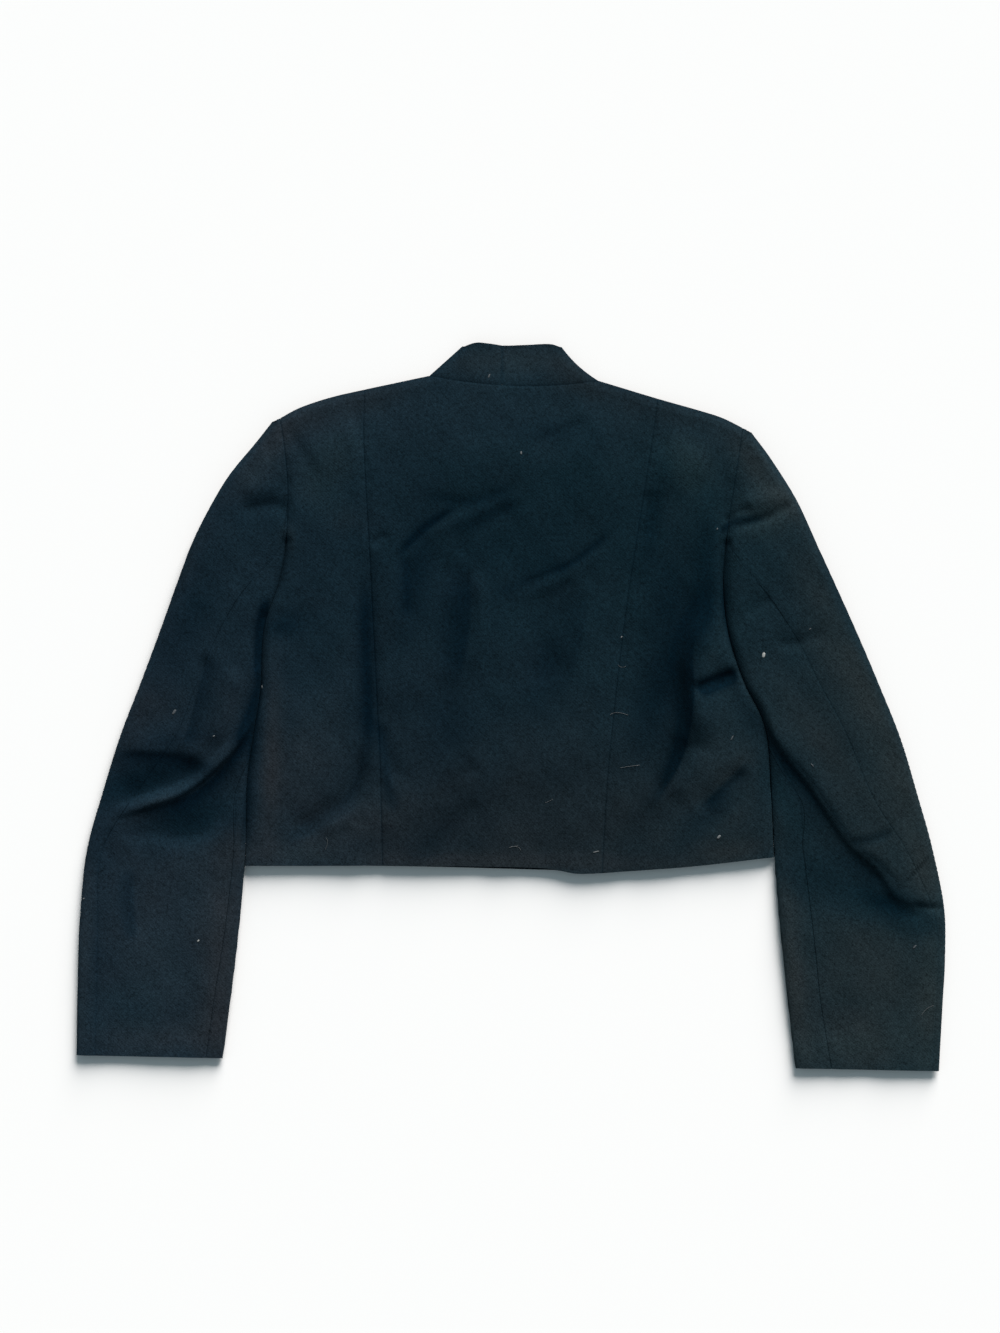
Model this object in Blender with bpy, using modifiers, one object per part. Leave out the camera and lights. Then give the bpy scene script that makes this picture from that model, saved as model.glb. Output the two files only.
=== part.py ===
"""Cropped jacket with a stand collar, laid flat on a surface with its back up.

Run with: blender --background --python part.py

The cloth is a thin wall. Every panel is a grid that is moved to its place in plan and
lifted to the lie of the cloth there, then given its thickness. Lengths in the tables are
millimetres: X to the right, Y towards the collar, Z up from the surface it lies on.
"""

from collections import namedtuple

import bpy
import numpy as np

MM = 0.001

# Driving sizes of the cloth and of how it lies
WALL = 2.2  # shell and lining together
SEAM_GAP = 0.3
SLEEVE_SEAM_GAP = 0.7  # wider, because these seams cross the folds
EDGE_ROLL = 9.0  # how far in from a folded edge the cloth takes to lie flat
EDGE_MIDDLE = 4.6  # height of the middle of a folded edge
EDGE_CLEARANCE = WALL / 2 + SEAM_GAP
SHOULDER_TIP_SHARE = 0.65  # of that clearance, where the armhole runs out over the shoulder
SHOULDER_TIP_RINGS = 1.5  # how far down a sleeve, in rings, the shoulder tip reaches
FLOOR_LAYER = WALL / 2  # height of the middle of a wall that rests on the surface
UNDER_LAYER_CLEARANCE = 1.5 * WALL + SEAM_GAP  # lowest middle of a wall that lies on another

# Where the outline's middle lies, so that the part is centred on its origin
CENTRE_X, CENTRE_Y = 0.1, -0.2

WOOL_COLOUR = (0.010, 0.018, 0.024, 1.0)
WOOL_ROUGHNESS = 0.9

# Height of the upper layer from cuffs to collar
Loft = namedtuple("Loft", "y height")
LOFTS = [
    Loft(-340, 7.0),
    Loft(-200, 9.0),
    Loft(-150, 7.5),
    Loft(-100, 9.5),
    Loft(20, 11.0),
    Loft(150, 13.5),
    Loft(240, 16.0),
    Loft(290, 11.5),
    Loft(340, 8.0),
]

# A sleeve is a flattened tube through these rings, from shoulder to cuff. A seam's share is
# measured across the upper layer from the inner edge, and is negative on the lower layer.
Ring = namedtuple("Ring", "outer_x outer_y inner_x inner_y back_seam front_seam rows")
LEFT_RINGS = [
    Ring(-219.0, 262.0, -212.0, 265.5, 0.00, 0.00, 2),
    Ring(-234.0, 243.0, -208.0, 239.0, 0.00, 0.00, 2),
    Ring(-262.0, 208.0, -204.8, 200.0, 0.00, 0.00, 2),
    Ring(-289.0, 159.0, -206.5, 152.0, 0.04, -0.04, 3),
    Ring(-304.0, 121.0, -213.5, 114.0, 0.27, -0.20, 3),
    Ring(-321.5, 72.0, -227.0, 72.0, 0.42, -0.26, 3),
    Ring(-340.5, 21.0, -230.0, 18.0, 0.54, -0.20, 3),
    Ring(-359.0, -27.0, -236.5, -24.0, 0.58, -0.09, 4),
    Ring(-375.5, -80.0, -242.8, -72.0, 0.76, 0.06, 4),
    Ring(-390.0, -134.0, -244.3, -134.0, 0.91, 0.07, 3),
    Ring(-396.5, -200.0, -250.0, -200.0, 0.89, 0.08, 2),
    Ring(-398.5, -262.0, -257.3, -263.0, 0.88, 0.10, 2),
    Ring(-399.5, -321.0, -265.4, -323.8, 0.88, 0.11, 0),
]
RIGHT_RINGS = [
    Ring(221.5, 252.0, 213.5, 256.5, 0.00, 0.00, 2),
    Ring(240.0, 227.0, 208.5, 223.0, 0.00, 0.00, 2),
    Ring(263.0, 190.0, 202.5, 184.0, 0.00, 0.00, 2),
    Ring(281.0, 151.0, 198.5, 150.0, 0.04, -0.04, 3),
    Ring(297.5, 115.0, 195.8, 112.0, 0.32, -0.22, 3),
    Ring(319.5, 66.0, 201.0, 66.0, 0.51, -0.28, 3),
    Ring(339.0, 20.0, 215.5, 22.0, 0.56, -0.20, 3),
    Ring(359.0, -30.0, 234.5, -18.0, 0.60, -0.06, 4),
    Ring(375.5, -85.0, 240.0, -78.0, 0.69, 0.17, 4),
    Ring(388.0, -130.0, 242.8, -130.0, 0.83, 0.18, 4),
    Ring(398.8, -184.0, 246.8, -185.0, 0.93, 0.19, 3),
    Ring(399.8, -228.0, 251.0, -229.0, 0.96, 0.20, 2),
    Ring(397.5, -275.0, 256.0, -275.0, 0.96, 0.21, 2),
    Ring(394.2, -335.8, 262.7, -333.0, 0.96, 0.25, 0),
]
UNDERARM_RING = 3
LEFT_HEM_RING, RIGHT_HEM_RING = 9.19, 9.12  # where the body's hem meets each sleeve

# Seams and edges of the body, as points that a smooth line goes through
LEFT_BACK_SEAM = [(-118.2, -146.2), (-120.5, -48.8), (-127.4, 98.4), (-134.8, 236.4), (-134.5, 291.6)]
RIGHT_BACK_SEAM = [(84.2, -149.3), (90.5, -50.0), (106.0, 88.0), (129.0, 238.0), (135.5, 283.2)]
LEFT_SHOULDER = [(-212.0, 265.5), (-193.7, 275.1), (-166.0, 284.3), (-134.5, 291.6), (-74.1, 304.5)]
RIGHT_SHOULDER = [(213.5, 256.5), (194.0, 266.0), (166.0, 274.6), (135.5, 283.2), (80.5, 299.9)]
LEFT_BACK_HEM = [(-244.4, -145.4), (-180.0, -146.0), (-118.2, -146.2)]
CENTRE_BACK_HEM = [(-118.2, -146.2), (-9.7, -147.4), (36.3, -149.0), (84.2, -149.3)]
RIGHT_BACK_HEM = [(84.2, -149.3), (128.0, -148.6), (174.0, -146.0), (243.3, -138.0)]
LEFT_FRONT_HEM = [(-244.4, -145.4), (-100.0, -145.0), (40.5, -147.5)]
RIGHT_FRONT_HEM = [(40.5, -150.5), (66.0, -153.6), (100.0, -151.8), (150.0, -147.0), (243.3, -138.0)]
FRONT_EDGE = [(40.5, -150.5), (22.0, 0.0), (9.0, 130.0), (3.0, 226.0)]
BACK_NECK = [(-74.1, 304.5), (-40.0, 299.0), (-8.0, 295.8), (15.0, 295.0), (50.0, 296.3), (80.5, 299.9)]
LEFT_FRONT_NECK = [(-74.1, 304.5), (-62.0, 275.0), (-38.0, 245.0), (3.0, 226.0)]
RIGHT_FRONT_NECK = [(80.5, 299.9), (70.0, 270.0), (44.0, 242.0), (3.0, 226.0)]

# Each half of the collar runs from the centre back, over its side fold, to the centre front
CENTRE_BACK_SHARE = 0.4  # of the back neck, from its left end
LEFT_COLLAR_TOP = [(-8.0, 332.8), (-20.0, 334.6), (-32.0, 335.4), (-44.0, 331.5)]
LEFT_COLLAR_FRONT_TOP = [(-44.0, 331.5), (-30.0, 295.0), (-14.0, 274.0), (3.0, 264.0)]
RIGHT_COLLAR_TOP = [(-8.0, 332.8), (15.0, 333.4), (36.0, 334.2), (46.5, 331.0)]
RIGHT_COLLAR_FRONT_TOP = [(46.5, 331.0), (36.0, 295.0), (20.0, 274.0), (3.0, 264.0)]

# Folds of the upper layer: a ridge, or a trough where the height is negative, along a bend
# from start to end. Its two widths are to the left and right of the way from start to end.
Fold = namedtuple("Fold", "start_x start_y bend_x bend_y end_x end_y height left_width right_width")
FOLDS = [
    Fold(-236, 4, -250, -90, -384, -106, 9.0, 8, 26),  # roll over the left elbow
    Fold(-374, -46, -330, -42, -282, -58, -3.5, 10, 10),  # hollow above that roll
    Fold(214, 26, 262, -76, 374, -212, 9.0, 34, 8),  # upper arm over the right forearm
    Fold(158, 112, 172, 10, 134, -82, -4.5, 16, 11),  # right side panel
    Fold(168, 30, 185, 26, 204, 32, -4.0, 8, 5),  # nip at the right underarm
    Fold(-134, 116, -128, 20, -106, -76, -3.2, 9, 9),  # beside the left back seam
    Fold(-42, 112, -50, 70, -54, 20, -2.6, 12, 12),  # middle of the back
    Fold(46, 102, 44, 60, 38, 18, -2.2, 16, 16),
    Fold(-125, 152, -78, 172, 0, 198, 2.6, 9, 6),  # slanting folds below the neck
    Fold(2, 104, 56, 130, 112, 160, -2.6, 7, 9),
    Fold(-206, -104, -172, -86, -134, -64, -3.0, 9, 9),  # above the left hem
    Fold(164, -98, 186, -80, 212, -60, -2.6, 8, 8),  # above the right hem
    Fold(206, 168, 228, 178, 256, 186, -3.4, 6, 7),  # right sleeve head
    Fold(-208, 196, -224, 200, -244, 203, -3.0, 6, 8),  # left sleeve head
    Fold(-190, 232, -168, 246, -140, 252, 2.6, 34, 34),  # left shoulder pad
    Fold(190, 224, 168, 236, 142, 244, 2.6, 34, 34),  # right shoulder pad
]
FOLD_FADE = 0.22  # share of a fold's length over which it dies out at each end

# How finely the grids are cut
BACK_ROWS = 18
SIDE_COLUMNS = 9
NECK_COLUMNS, SHOULDER_COLUMNS = 8, 3
FRONT_ROWS, FRONT_SHOULDER_COLUMNS, FRONT_NECK_COLUMNS = 12, 5, 7
COLLAR_ROWS, COLLAR_BACK_COLUMNS = 4, 9
TOP_SLEEVE_COLUMNS, UNDER_SLEEVE_COLUMNS = 17, 12
OUTLINE_STEPS = 48
FOLD_STEPS = 16
STRETCH_POINTS = 9  # that a stretch of a longer line is taken through
TURN_STEPS = 200
ROLL_CROWDING = 1.8  # how strongly grid lines crowd towards a folded edge
RING_CROWDING = 0.72  # how strongly a sleeve ring's points crowd towards its two folded edges

# A sleeve's seams open wider where they cross its inner folded edge
EDGE_OPENING = 2.5  # times the gap
EDGE_OPENING_REACH = 0.12  # of a turn
TUBE_CLOSE = 1e-6  # of a turn, where the two edges of a tube meet


def spline(points, at):
    """Points of a smooth line through the rows of points, at places counted in rows."""
    points = np.asarray(points, float)
    last = len(points) - 1
    at = np.clip(np.asarray(at, float), 0, last)
    row = np.minimum(at.astype(int), last - 1)
    slopes = np.gradient(points, axis=0)
    t = (at - row)[..., None]
    start, end = points[row], points[row + 1]
    swing = start * (1 + 2 * t) * (1 - t) ** 2 + end * t * t * (3 - 2 * t)
    return swing + slopes[row] * t * (1 - t) ** 2 - slopes[row + 1] * t * t * (1 - t)


def along(points, share):
    """Points at these shares, from 0 to 1, of the smooth line through points."""
    return spline(points, np.asarray(share, float) * (len(points) - 1))


def smooth_step(value):
    value = np.clip(value, 0, 1)
    return value * value * (3 - 2 * value)


def distance_to(line, points):
    """Distance from each point to a line of many points, its side, and the place along it."""
    a, b = line[:-1], line[1:]
    ab = b - a
    ap = points[:, None, :] - a[None]
    t = np.clip((ap * ab).sum(2) / np.maximum((ab * ab).sum(1), 1e-9), 0, 1)
    offset = ap - t[..., None] * ab
    far = np.linalg.norm(offset, axis=2)
    nearest = far.argmin(axis=1)
    each = np.arange(len(points))
    side = ab[nearest, 0] * offset[each, nearest, 1] - ab[nearest, 1] * offset[each, nearest, 0]
    place = (nearest + t[each, nearest]) / len(a)
    return far[each, nearest], side, place


def inner_edge(rings, ring):
    return spline([(r.inner_x, r.inner_y) for r in rings], ring)


def outer_edge(rings, ring):
    return spline([(r.outer_x, r.outer_y) for r in rings], ring)


def folded_edges():
    """The lines in plan where the cloth turns from its upper to its lower layer."""
    steps = np.linspace(0, 1, OUTLINE_STEPS)
    lines = [along(LEFT_SHOULDER, steps), along(RIGHT_SHOULDER, steps)]
    lines += [np.array([BACK_NECK[0], LEFT_COLLAR_TOP[-1]])]
    lines += [np.array([BACK_NECK[-1], RIGHT_COLLAR_TOP[-1]])]
    for rings in (LEFT_RINGS, RIGHT_RINGS):
        last = len(rings) - 1
        lines.append(outer_edge(rings, steps * last))
        lines.append(inner_edge(rings, UNDERARM_RING + steps * (last - UNDERARM_RING)))
    return lines


FOLDED_EDGES = folded_edges()


def roll(points):
    """0 on a folded edge, rising round its roll to 1 where the cloth lies flat."""
    far = np.min([distance_to(line, points)[0] for line in FOLDED_EDGES], axis=0)
    return np.sqrt(1 - (1 - np.clip(far / EDGE_ROLL, 0, 1)) ** 2)


def fold_height(fold, points):
    t = np.linspace(0, 1, FOLD_STEPS)[:, None]
    start, bend, end = np.array(fold[:6]).reshape(3, 2)
    line = start * (1 - t) ** 2 + bend * 2 * t * (1 - t) + end * t * t
    far, side, place = distance_to(line, points)
    width = np.where(side > 0, fold.left_width, fold.right_width)
    fade = smooth_step(place / FOLD_FADE) * smooth_step((1 - place) / FOLD_FADE)
    return fold.height * fade * np.exp(-((far / width) ** 2))


def upper_layer(points):
    """Height of the middle of the upper layer's wall over these points of the plan."""
    lofts = np.array(LOFTS)
    height = np.interp(points[:, 1], lofts[:, 0], lofts[:, 1])
    height += sum(fold_height(fold, points) for fold in FOLDS)
    height = np.maximum(height, UNDER_LAYER_CLEARANCE)
    return EDGE_MIDDLE + (height - EDGE_MIDDLE) * roll(points)


def lower_layer(points):
    """Height of the middle of the wall that rests on the surface."""
    return EDGE_MIDDLE - (EDGE_MIDDLE - FLOOR_LAYER) * roll(points)


def wool():
    material = bpy.data.materials.new("black_wool")
    material.use_nodes = True
    shader = material.node_tree.nodes["Principled BSDF"]
    shader.inputs["Base Color"].default_value = WOOL_COLOUR
    shader.inputs["Roughness"].default_value = WOOL_ROUGHNESS
    shader.inputs["Metallic"].default_value = 0.0
    return material


def cloth(name, columns, rows, place):
    """A wall of cloth from a grid. place(u, v) gives each point in millimetres for shares 0 to 1."""
    bpy.ops.mesh.primitive_grid_add(x_subdivisions=columns, y_subdivisions=rows, size=2)
    panel = bpy.context.active_object
    panel.name = panel.data.name = name
    grid = np.empty(len(panel.data.vertices) * 3)
    panel.data.vertices.foreach_get("co", grid)
    grid = grid.reshape(-1, 3)
    points = place((grid[:, 0] + 1) / 2, (grid[:, 1] + 1) / 2)
    points[:, :2] -= (CENTRE_X, CENTRE_Y)
    panel.data.vertices.foreach_set("co", (points * MM).ravel())
    panel.data.update()
    panel.data.shade_smooth()
    wall = panel.modifiers.new("wall", "SOLIDIFY")
    wall.thickness = WALL * MM
    wall.offset = 0
    return panel


def lifted(plan, layer):
    return np.column_stack([plan, layer(plan)])


def inset(shares, length, low=SEAM_GAP / 2, high=SEAM_GAP / 2):
    """Shares of a length, drawn in from its ends by the clearances there."""
    return (low + shares * (length - low - high)) / length


def near_low(shares):
    """Shares crowded towards 0, where the cloth rolls over a folded edge."""
    return shares ** ROLL_CROWDING


def near_high(shares):
    return 1 - near_low(1 - shares)


def ending_at(points, start, end):
    """The line's shares-to-points function, eased so that it starts and ends exactly there."""

    def place(share):
        share = np.asarray(share, float)
        drift_start = start - along(points, 0.0)
        drift_end = end - along(points, 1.0)
        weight = share[..., None]
        return along(points, share) + drift_start * (1 - weight) + drift_end * weight

    return place


def patch(bottom, top, left, right):
    """Plan points between four edge lines, each a function of its share."""

    def place(u, v):
        a, b = u[:, None], v[:, None]
        across = (1 - b) * bottom(u) + b * top(u)
        upward = (1 - a) * left(v) + a * right(v)
        corners = (1 - b) * ((1 - a) * left(0.0) + a * right(0.0))
        corners = corners + b * ((1 - a) * left(1.0) + a * right(1.0))
        return across + upward - corners

    return place


def edge_clearance(ring):
    """How far the body and a sleeve each keep from the line between them."""
    folded = smooth_step(ring - UNDERARM_RING + 1)
    at_tip = SHOULDER_TIP_SHARE * smooth_step(1 - ring / SHOULDER_TIP_RINGS)
    return SEAM_GAP / 2 + (EDGE_CLEARANCE - SEAM_GAP / 2) * np.maximum(folded, at_tip)


def body_side(rings, hem_ring, inwards):
    """The body's edge beside a sleeve, from the hem to the shoulder tip."""

    def place(share):
        ring = hem_ring * (1 - np.asarray(share, float))
        clear = edge_clearance(ring)
        return inner_edge(rings, ring) + np.stack([inwards * clear, 0 * clear], axis=-1)

    return place


def seam(points):
    return lambda share: along(points, share)


def part_of(points, low, high):
    """A stretch of the line, between two shares of it, as a line of its own."""
    return along(points, np.linspace(low, high, STRETCH_POINTS))


def chain(*stretches):
    """Lines joined end to end. Each is (points, share of the whole where it ends)."""

    def place(share):
        share = np.asarray(share, float)
        result = np.zeros(share.shape + (2,))
        begin = 0.0
        for points, finish in stretches:
            inside = (share >= begin) & (share <= finish)
            local = np.clip((share - begin) / (finish - begin), 0, 1)
            result = np.where(inside[..., None], along(points, local), result)
            begin = finish
        return result

    return place


def backwards(points):
    return list(reversed(points))


def make_side_backs():
    left = body_side(LEFT_RINGS, LEFT_HEM_RING, 1)
    right = body_side(RIGHT_RINGS, RIGHT_HEM_RING, -1)
    left_seam, right_seam = seam(LEFT_BACK_SEAM), seam(RIGHT_BACK_SEAM)
    left_top = ending_at(part_of(LEFT_SHOULDER, 0, 0.75), left(1.0), left_seam(1.0))
    right_top = ending_at(part_of(backwards(RIGHT_SHOULDER), 0.25, 1), right_seam(1.0), right(1.0))
    left_hem = ending_at(LEFT_BACK_HEM, left(0.0), left_seam(0.0))
    right_hem = ending_at(RIGHT_BACK_HEM, right_seam(0.0), right(0.0))
    left_patch = patch(left_hem, left_top, left, left_seam)
    right_patch = patch(right_hem, right_top, right_seam, right)
    width, length = 100.0, 420.0

    def left_place(u, v):
        across = inset(near_low(u), width, low=0)
        return lifted(left_patch(across, inset(near_high(v), length, low=0)), upper_layer)

    def right_place(u, v):
        across = inset(near_high(u), width, high=0)
        return lifted(right_patch(across, inset(near_high(v), length, low=0)), upper_layer)

    return [
        cloth("back_side_left", SIDE_COLUMNS, BACK_ROWS, left_place),
        cloth("back_side_right", SIDE_COLUMNS, BACK_ROWS, right_place),
    ]


def make_centre_back():
    left, right = seam(LEFT_BACK_SEAM), seam(RIGHT_BACK_SEAM)
    columns = NECK_COLUMNS + 2 * SHOULDER_COLUMNS
    neck_start = SHOULDER_COLUMNS / columns
    top = chain(
        (part_of(LEFT_SHOULDER, 0.75, 1), neck_start),
        (BACK_NECK, 1 - neck_start),
        (part_of(backwards(RIGHT_SHOULDER), 0, 0.25), 1.0),
    )
    bottom = ending_at(CENTRE_BACK_HEM, left(0.0), right(0.0))
    place_plan = patch(bottom, top, left, right)
    width, length = 225.0, 440.0

    def place(u, v):
        return lifted(place_plan(inset(u, width), inset(near_high(v), length, low=0)), upper_layer)

    return cloth("back_centre", columns, BACK_ROWS, place)


def make_fronts():
    """The two fronts, which lie on the surface under the back and meet at the front edge."""
    columns = FRONT_SHOULDER_COLUMNS + FRONT_NECK_COLUMNS
    turn = FRONT_SHOULDER_COLUMNS / columns
    front_edge = seam(FRONT_EDGE)
    left = body_side(LEFT_RINGS, LEFT_HEM_RING, 1)
    right = body_side(RIGHT_RINGS, RIGHT_HEM_RING, -1)
    left_shoulder = ending_at(LEFT_SHOULDER, left(1.0), np.array(LEFT_SHOULDER[-1]))
    right_shoulder = ending_at(RIGHT_SHOULDER, right(1.0), np.array(RIGHT_SHOULDER[-1]))
    steps = np.linspace(0, 1, STRETCH_POINTS)
    left_top = chain((left_shoulder(steps), turn), (LEFT_FRONT_NECK, 1.0))
    right_top = chain((backwards(RIGHT_FRONT_NECK), 1 - turn), (right_shoulder(steps)[::-1], 1.0))
    left_hem = ending_at(LEFT_FRONT_HEM, left(0.0), front_edge(0.0))
    right_hem = ending_at(RIGHT_FRONT_HEM, front_edge(0.0), right(0.0))
    left_patch = patch(left_hem, left_top, left, front_edge)
    right_patch = patch(right_hem, right_top, front_edge, right)
    width, length = 250.0, 400.0

    def crowded(u):
        shoulder = turn * near_low(np.clip(u / turn, 0, 1))
        neck = turn + (1 - turn) * near_low(np.clip((u - turn) / (1 - turn), 0, 1))
        return np.where(u <= turn, shoulder, neck)

    def left_place(u, v):
        across = inset(crowded(u), width, low=0)
        return lifted(left_patch(across, inset(near_high(v), length, low=0)), lower_layer)

    def right_place(u, v):
        across = inset(1 - crowded(1 - u), width, high=0)
        return lifted(right_patch(across, inset(near_high(v), length, low=0)), lower_layer)

    return [
        cloth("front_left", columns, FRONT_ROWS, left_place),
        cloth("front_right", columns, FRONT_ROWS, right_place),
    ]


def make_collar(name, back_neck, back_top, front_neck, front_top):
    """Half of the stand collar, folded over at its side."""
    columns = COLLAR_BACK_COLUMNS + FRONT_NECK_COLUMNS
    turn = COLLAR_BACK_COLUMNS / columns
    height = 38.0
    half_length = 60.0
    clear_of_shoulder = 2 * EDGE_CLEARANCE

    def place(u, v):
        on_back = u <= turn
        back_share = inset(near_high(np.clip(u / turn, 0, 1)), half_length, high=0)
        front_share = inset(near_low(np.clip((u - turn) / (1 - turn), 0, 1)), half_length, low=0)
        close_to_fold = np.where(on_back, back_share, 1 - front_share) ** 4
        up = inset(v, height, low=SEAM_GAP / 2 + clear_of_shoulder * close_to_fold, high=0)[:, None]
        back = along(back_neck, back_share) * (1 - up) + along(back_top, back_share) * up
        front = along(front_neck, front_share) * (1 - up) + along(front_top, front_share) * up
        plan = np.where(on_back[:, None], back, front)
        return np.column_stack([plan, np.where(on_back, upper_layer(plan), lower_layer(plan))])

    return cloth(name, columns, COLLAR_ROWS, place)


def make_collars():
    left_neck = part_of(BACK_NECK, CENTRE_BACK_SHARE, 0)
    right_neck = part_of(BACK_NECK, CENTRE_BACK_SHARE, 1)
    return [
        make_collar("collar_left", left_neck, LEFT_COLLAR_TOP, LEFT_FRONT_NECK, LEFT_COLLAR_FRONT_TOP),
        make_collar("collar_right", right_neck, RIGHT_COLLAR_TOP, RIGHT_FRONT_NECK, RIGHT_COLLAR_FRONT_TOP),
    ]


def across_share(turn):
    """Share of a ring's width, from its inner edge, at a turn of 0 to 1 across a layer."""
    return turn - RING_CROWDING * np.sin(2 * np.pi * turn) / (2 * np.pi)


def turn_at(share):
    """The signed turn round a ring where a seam lies at a signed share of its width."""
    turns = np.linspace(0, 1, TURN_STEPS)
    return np.sign(share) * np.interp(np.abs(share), across_share(turns), turns)


def ring_rows(rings, first):
    """Ring places from one ring on, with each ring's own number of rows to the next."""
    places = []
    for index in range(first, len(rings) - 1):
        places += [index + step / rings[index].rows for step in range(rings[index].rows)]
    return np.array(places + [len(rings) - 1])


def sleeve_point(rings, ring, turn):
    """A point of the sleeve. The turn is 0 at the inner edge, 1 at the outer and 2 back inside."""
    inner, outer = inner_edge(rings, ring), outer_edge(rings, ring)
    width = np.linalg.norm(outer - inner, axis=1)
    turn = np.mod(turn, 2.0)
    share = across_share(np.where(turn <= 1, turn, 2 - turn))
    share = inset(share, width, low=edge_clearance(ring), high=0)
    plan = inner + (outer - inner) * share[:, None]
    return np.column_stack([plan, np.where(turn <= 1, upper_layer(plan), lower_layer(plan))])


def make_sleeve(side, rings):
    """The top sleeve goes over the outer edge, and the under sleeve fills in to the inner one."""
    seams = np.array([(turn_at(r.back_seam), turn_at(r.front_seam)) for r in rings])
    top_rings, under_rings = ring_rows(rings, 0), ring_rows(rings, UNDERARM_RING)

    def row_of(row_rings, v):
        """The ring of each row, and the turns of the back and front seams there."""
        ring = row_rings[np.round(v * (len(row_rings) - 1)).astype(int)]
        return ring, *spline(seams, ring).T

    def half_gap(ring, turn):
        """Half of a seam's gap as a turn, which is longer where the ring runs flat."""
        step = 0.01
        ahead = sleeve_point(rings, ring, turn + step + 2) - sleeve_point(rings, ring, turn - step + 2)
        at_edge = 1 + EDGE_OPENING * np.exp(-((turn / EDGE_OPENING_REACH) ** 2))
        return SLEEVE_SEAM_GAP * at_edge * step / np.linalg.norm(ahead, axis=1)

    def top_place(u, v):
        ring, back, front = row_of(top_rings, v)
        sewn = ring >= UNDERARM_RING
        start = np.where(sewn, np.maximum(back, 0) + half_gap(ring, back), TUBE_CLOSE)
        end = np.where(sewn, 2 + front - half_gap(ring, front), 2 - TUBE_CLOSE)
        return sleeve_point(rings, ring, start + (end - start) * u)

    def under_place(u, v):
        ring, back, front = row_of(under_rings, v)
        start, end = front + half_gap(ring, front), back - half_gap(ring, back)
        return sleeve_point(rings, ring, start + (end - start) * u + 2)

    return [
        cloth(f"sleeve_top_{side}", TOP_SLEEVE_COLUMNS, len(top_rings) - 1, top_place),
        cloth(f"sleeve_under_{side}", UNDER_SLEEVE_COLUMNS, len(under_rings) - 1, under_place),
    ]


def clear_scene():
    for old in list(bpy.data.objects):
        bpy.data.objects.remove(old, do_unlink=True)


def main():
    clear_scene()
    panels = make_fronts() + make_side_backs() + [make_centre_back()] + make_collars()
    panels += make_sleeve("left", LEFT_RINGS) + make_sleeve("right", RIGHT_RINGS)
    jacket = bpy.data.collections.new("cropped_jacket")
    bpy.context.scene.collection.children.link(jacket)
    finish = wool()
    for panel in panels:
        panel.data.materials.append(finish)
        for holder in list(panel.users_collection):
            holder.objects.unlink(panel)
        jacket.objects.link(panel)


main()
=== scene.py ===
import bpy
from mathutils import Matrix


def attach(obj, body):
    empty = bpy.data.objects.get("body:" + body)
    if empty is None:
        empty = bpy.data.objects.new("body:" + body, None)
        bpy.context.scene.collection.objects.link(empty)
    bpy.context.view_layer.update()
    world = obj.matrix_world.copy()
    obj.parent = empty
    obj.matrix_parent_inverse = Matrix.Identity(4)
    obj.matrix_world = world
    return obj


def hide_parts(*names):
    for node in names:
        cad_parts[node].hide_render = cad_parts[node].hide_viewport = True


bl_info = {
    "name": "Cropped Wool Jacket",
    "version": (1, 0, 0),
    "blender": (4, 5, 0),
    "location": "View3D > Sidebar > Jacket",
    "description": "Lays out a cropped wool jacket, back up, panel by panel",
    "category": "Object",
}

from collections import namedtuple

import bpy
import numpy as np

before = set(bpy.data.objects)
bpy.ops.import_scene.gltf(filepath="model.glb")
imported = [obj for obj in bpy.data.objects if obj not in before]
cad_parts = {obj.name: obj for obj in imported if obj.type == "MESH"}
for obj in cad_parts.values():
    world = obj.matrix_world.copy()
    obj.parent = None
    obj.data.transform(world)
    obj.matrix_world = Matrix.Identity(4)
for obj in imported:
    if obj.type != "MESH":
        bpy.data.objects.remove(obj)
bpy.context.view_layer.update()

MM = 0.001
PICTURE_HEIGHT_PX = 1333

# Lengths in the tables are millimetres: X to the right, Y towards the collar. The middle of
# the outline lies this far from the tables' origin.
CENTRE_X, CENTRE_Y = 0.1, -0.2

# Height of the upper layer from cuffs to collar
Loft = namedtuple("Loft", "y height")
LOFTS = [
    Loft(-340, 5.6),
    Loft(-200, 8.6),
    Loft(-150, 6.2),
    Loft(-100, 9.2),
    Loft(20, 11.0),
    Loft(150, 13.5),
    Loft(240, 16.0),
    Loft(290, 11.5),
    Loft(340, 8.0),
]
LOFT_ROUNDING = 26.0  # to each side, over which the corners between these rows are rounded
LOFT_SAMPLES = 27

# A sleeve is a flattened tube through these rings, from shoulder to cuff. A seam's share is
# measured across the upper layer from the inner edge, and is negative on the lower layer.
Ring = namedtuple("Ring", "outer_x outer_y inner_x inner_y back_seam front_seam rows")
LEFT_RINGS = [
    Ring(-219.0, 262.0, -212.0, 265.5, 0.00, 0.00, 2),
    Ring(-234.0, 243.0, -208.0, 239.0, 0.00, 0.00, 2),
    Ring(-262.0, 208.0, -204.8, 200.0, 0.00, 0.00, 2),
    Ring(-289.0, 159.0, -206.5, 152.0, 0.04, -0.04, 3),
    Ring(-304.0, 121.0, -213.5, 114.0, 0.27, -0.20, 3),
    Ring(-321.5, 72.0, -227.0, 72.0, 0.42, -0.26, 3),
    Ring(-340.5, 21.0, -230.0, 18.0, 0.54, -0.20, 3),
    Ring(-359.0, -27.0, -236.5, -24.0, 0.58, -0.09, 4),
    Ring(-375.5, -80.0, -242.8, -72.0, 0.76, 0.06, 4),
    Ring(-390.0, -134.0, -244.3, -134.0, 0.91, 0.07, 3),
    Ring(-396.5, -200.0, -250.0, -200.0, 0.89, 0.08, 2),
    Ring(-398.5, -262.0, -257.3, -263.0, 0.88, 0.10, 2),
    Ring(-399.5, -321.0, -265.4, -323.8, 0.88, 0.11, 0),
]
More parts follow.
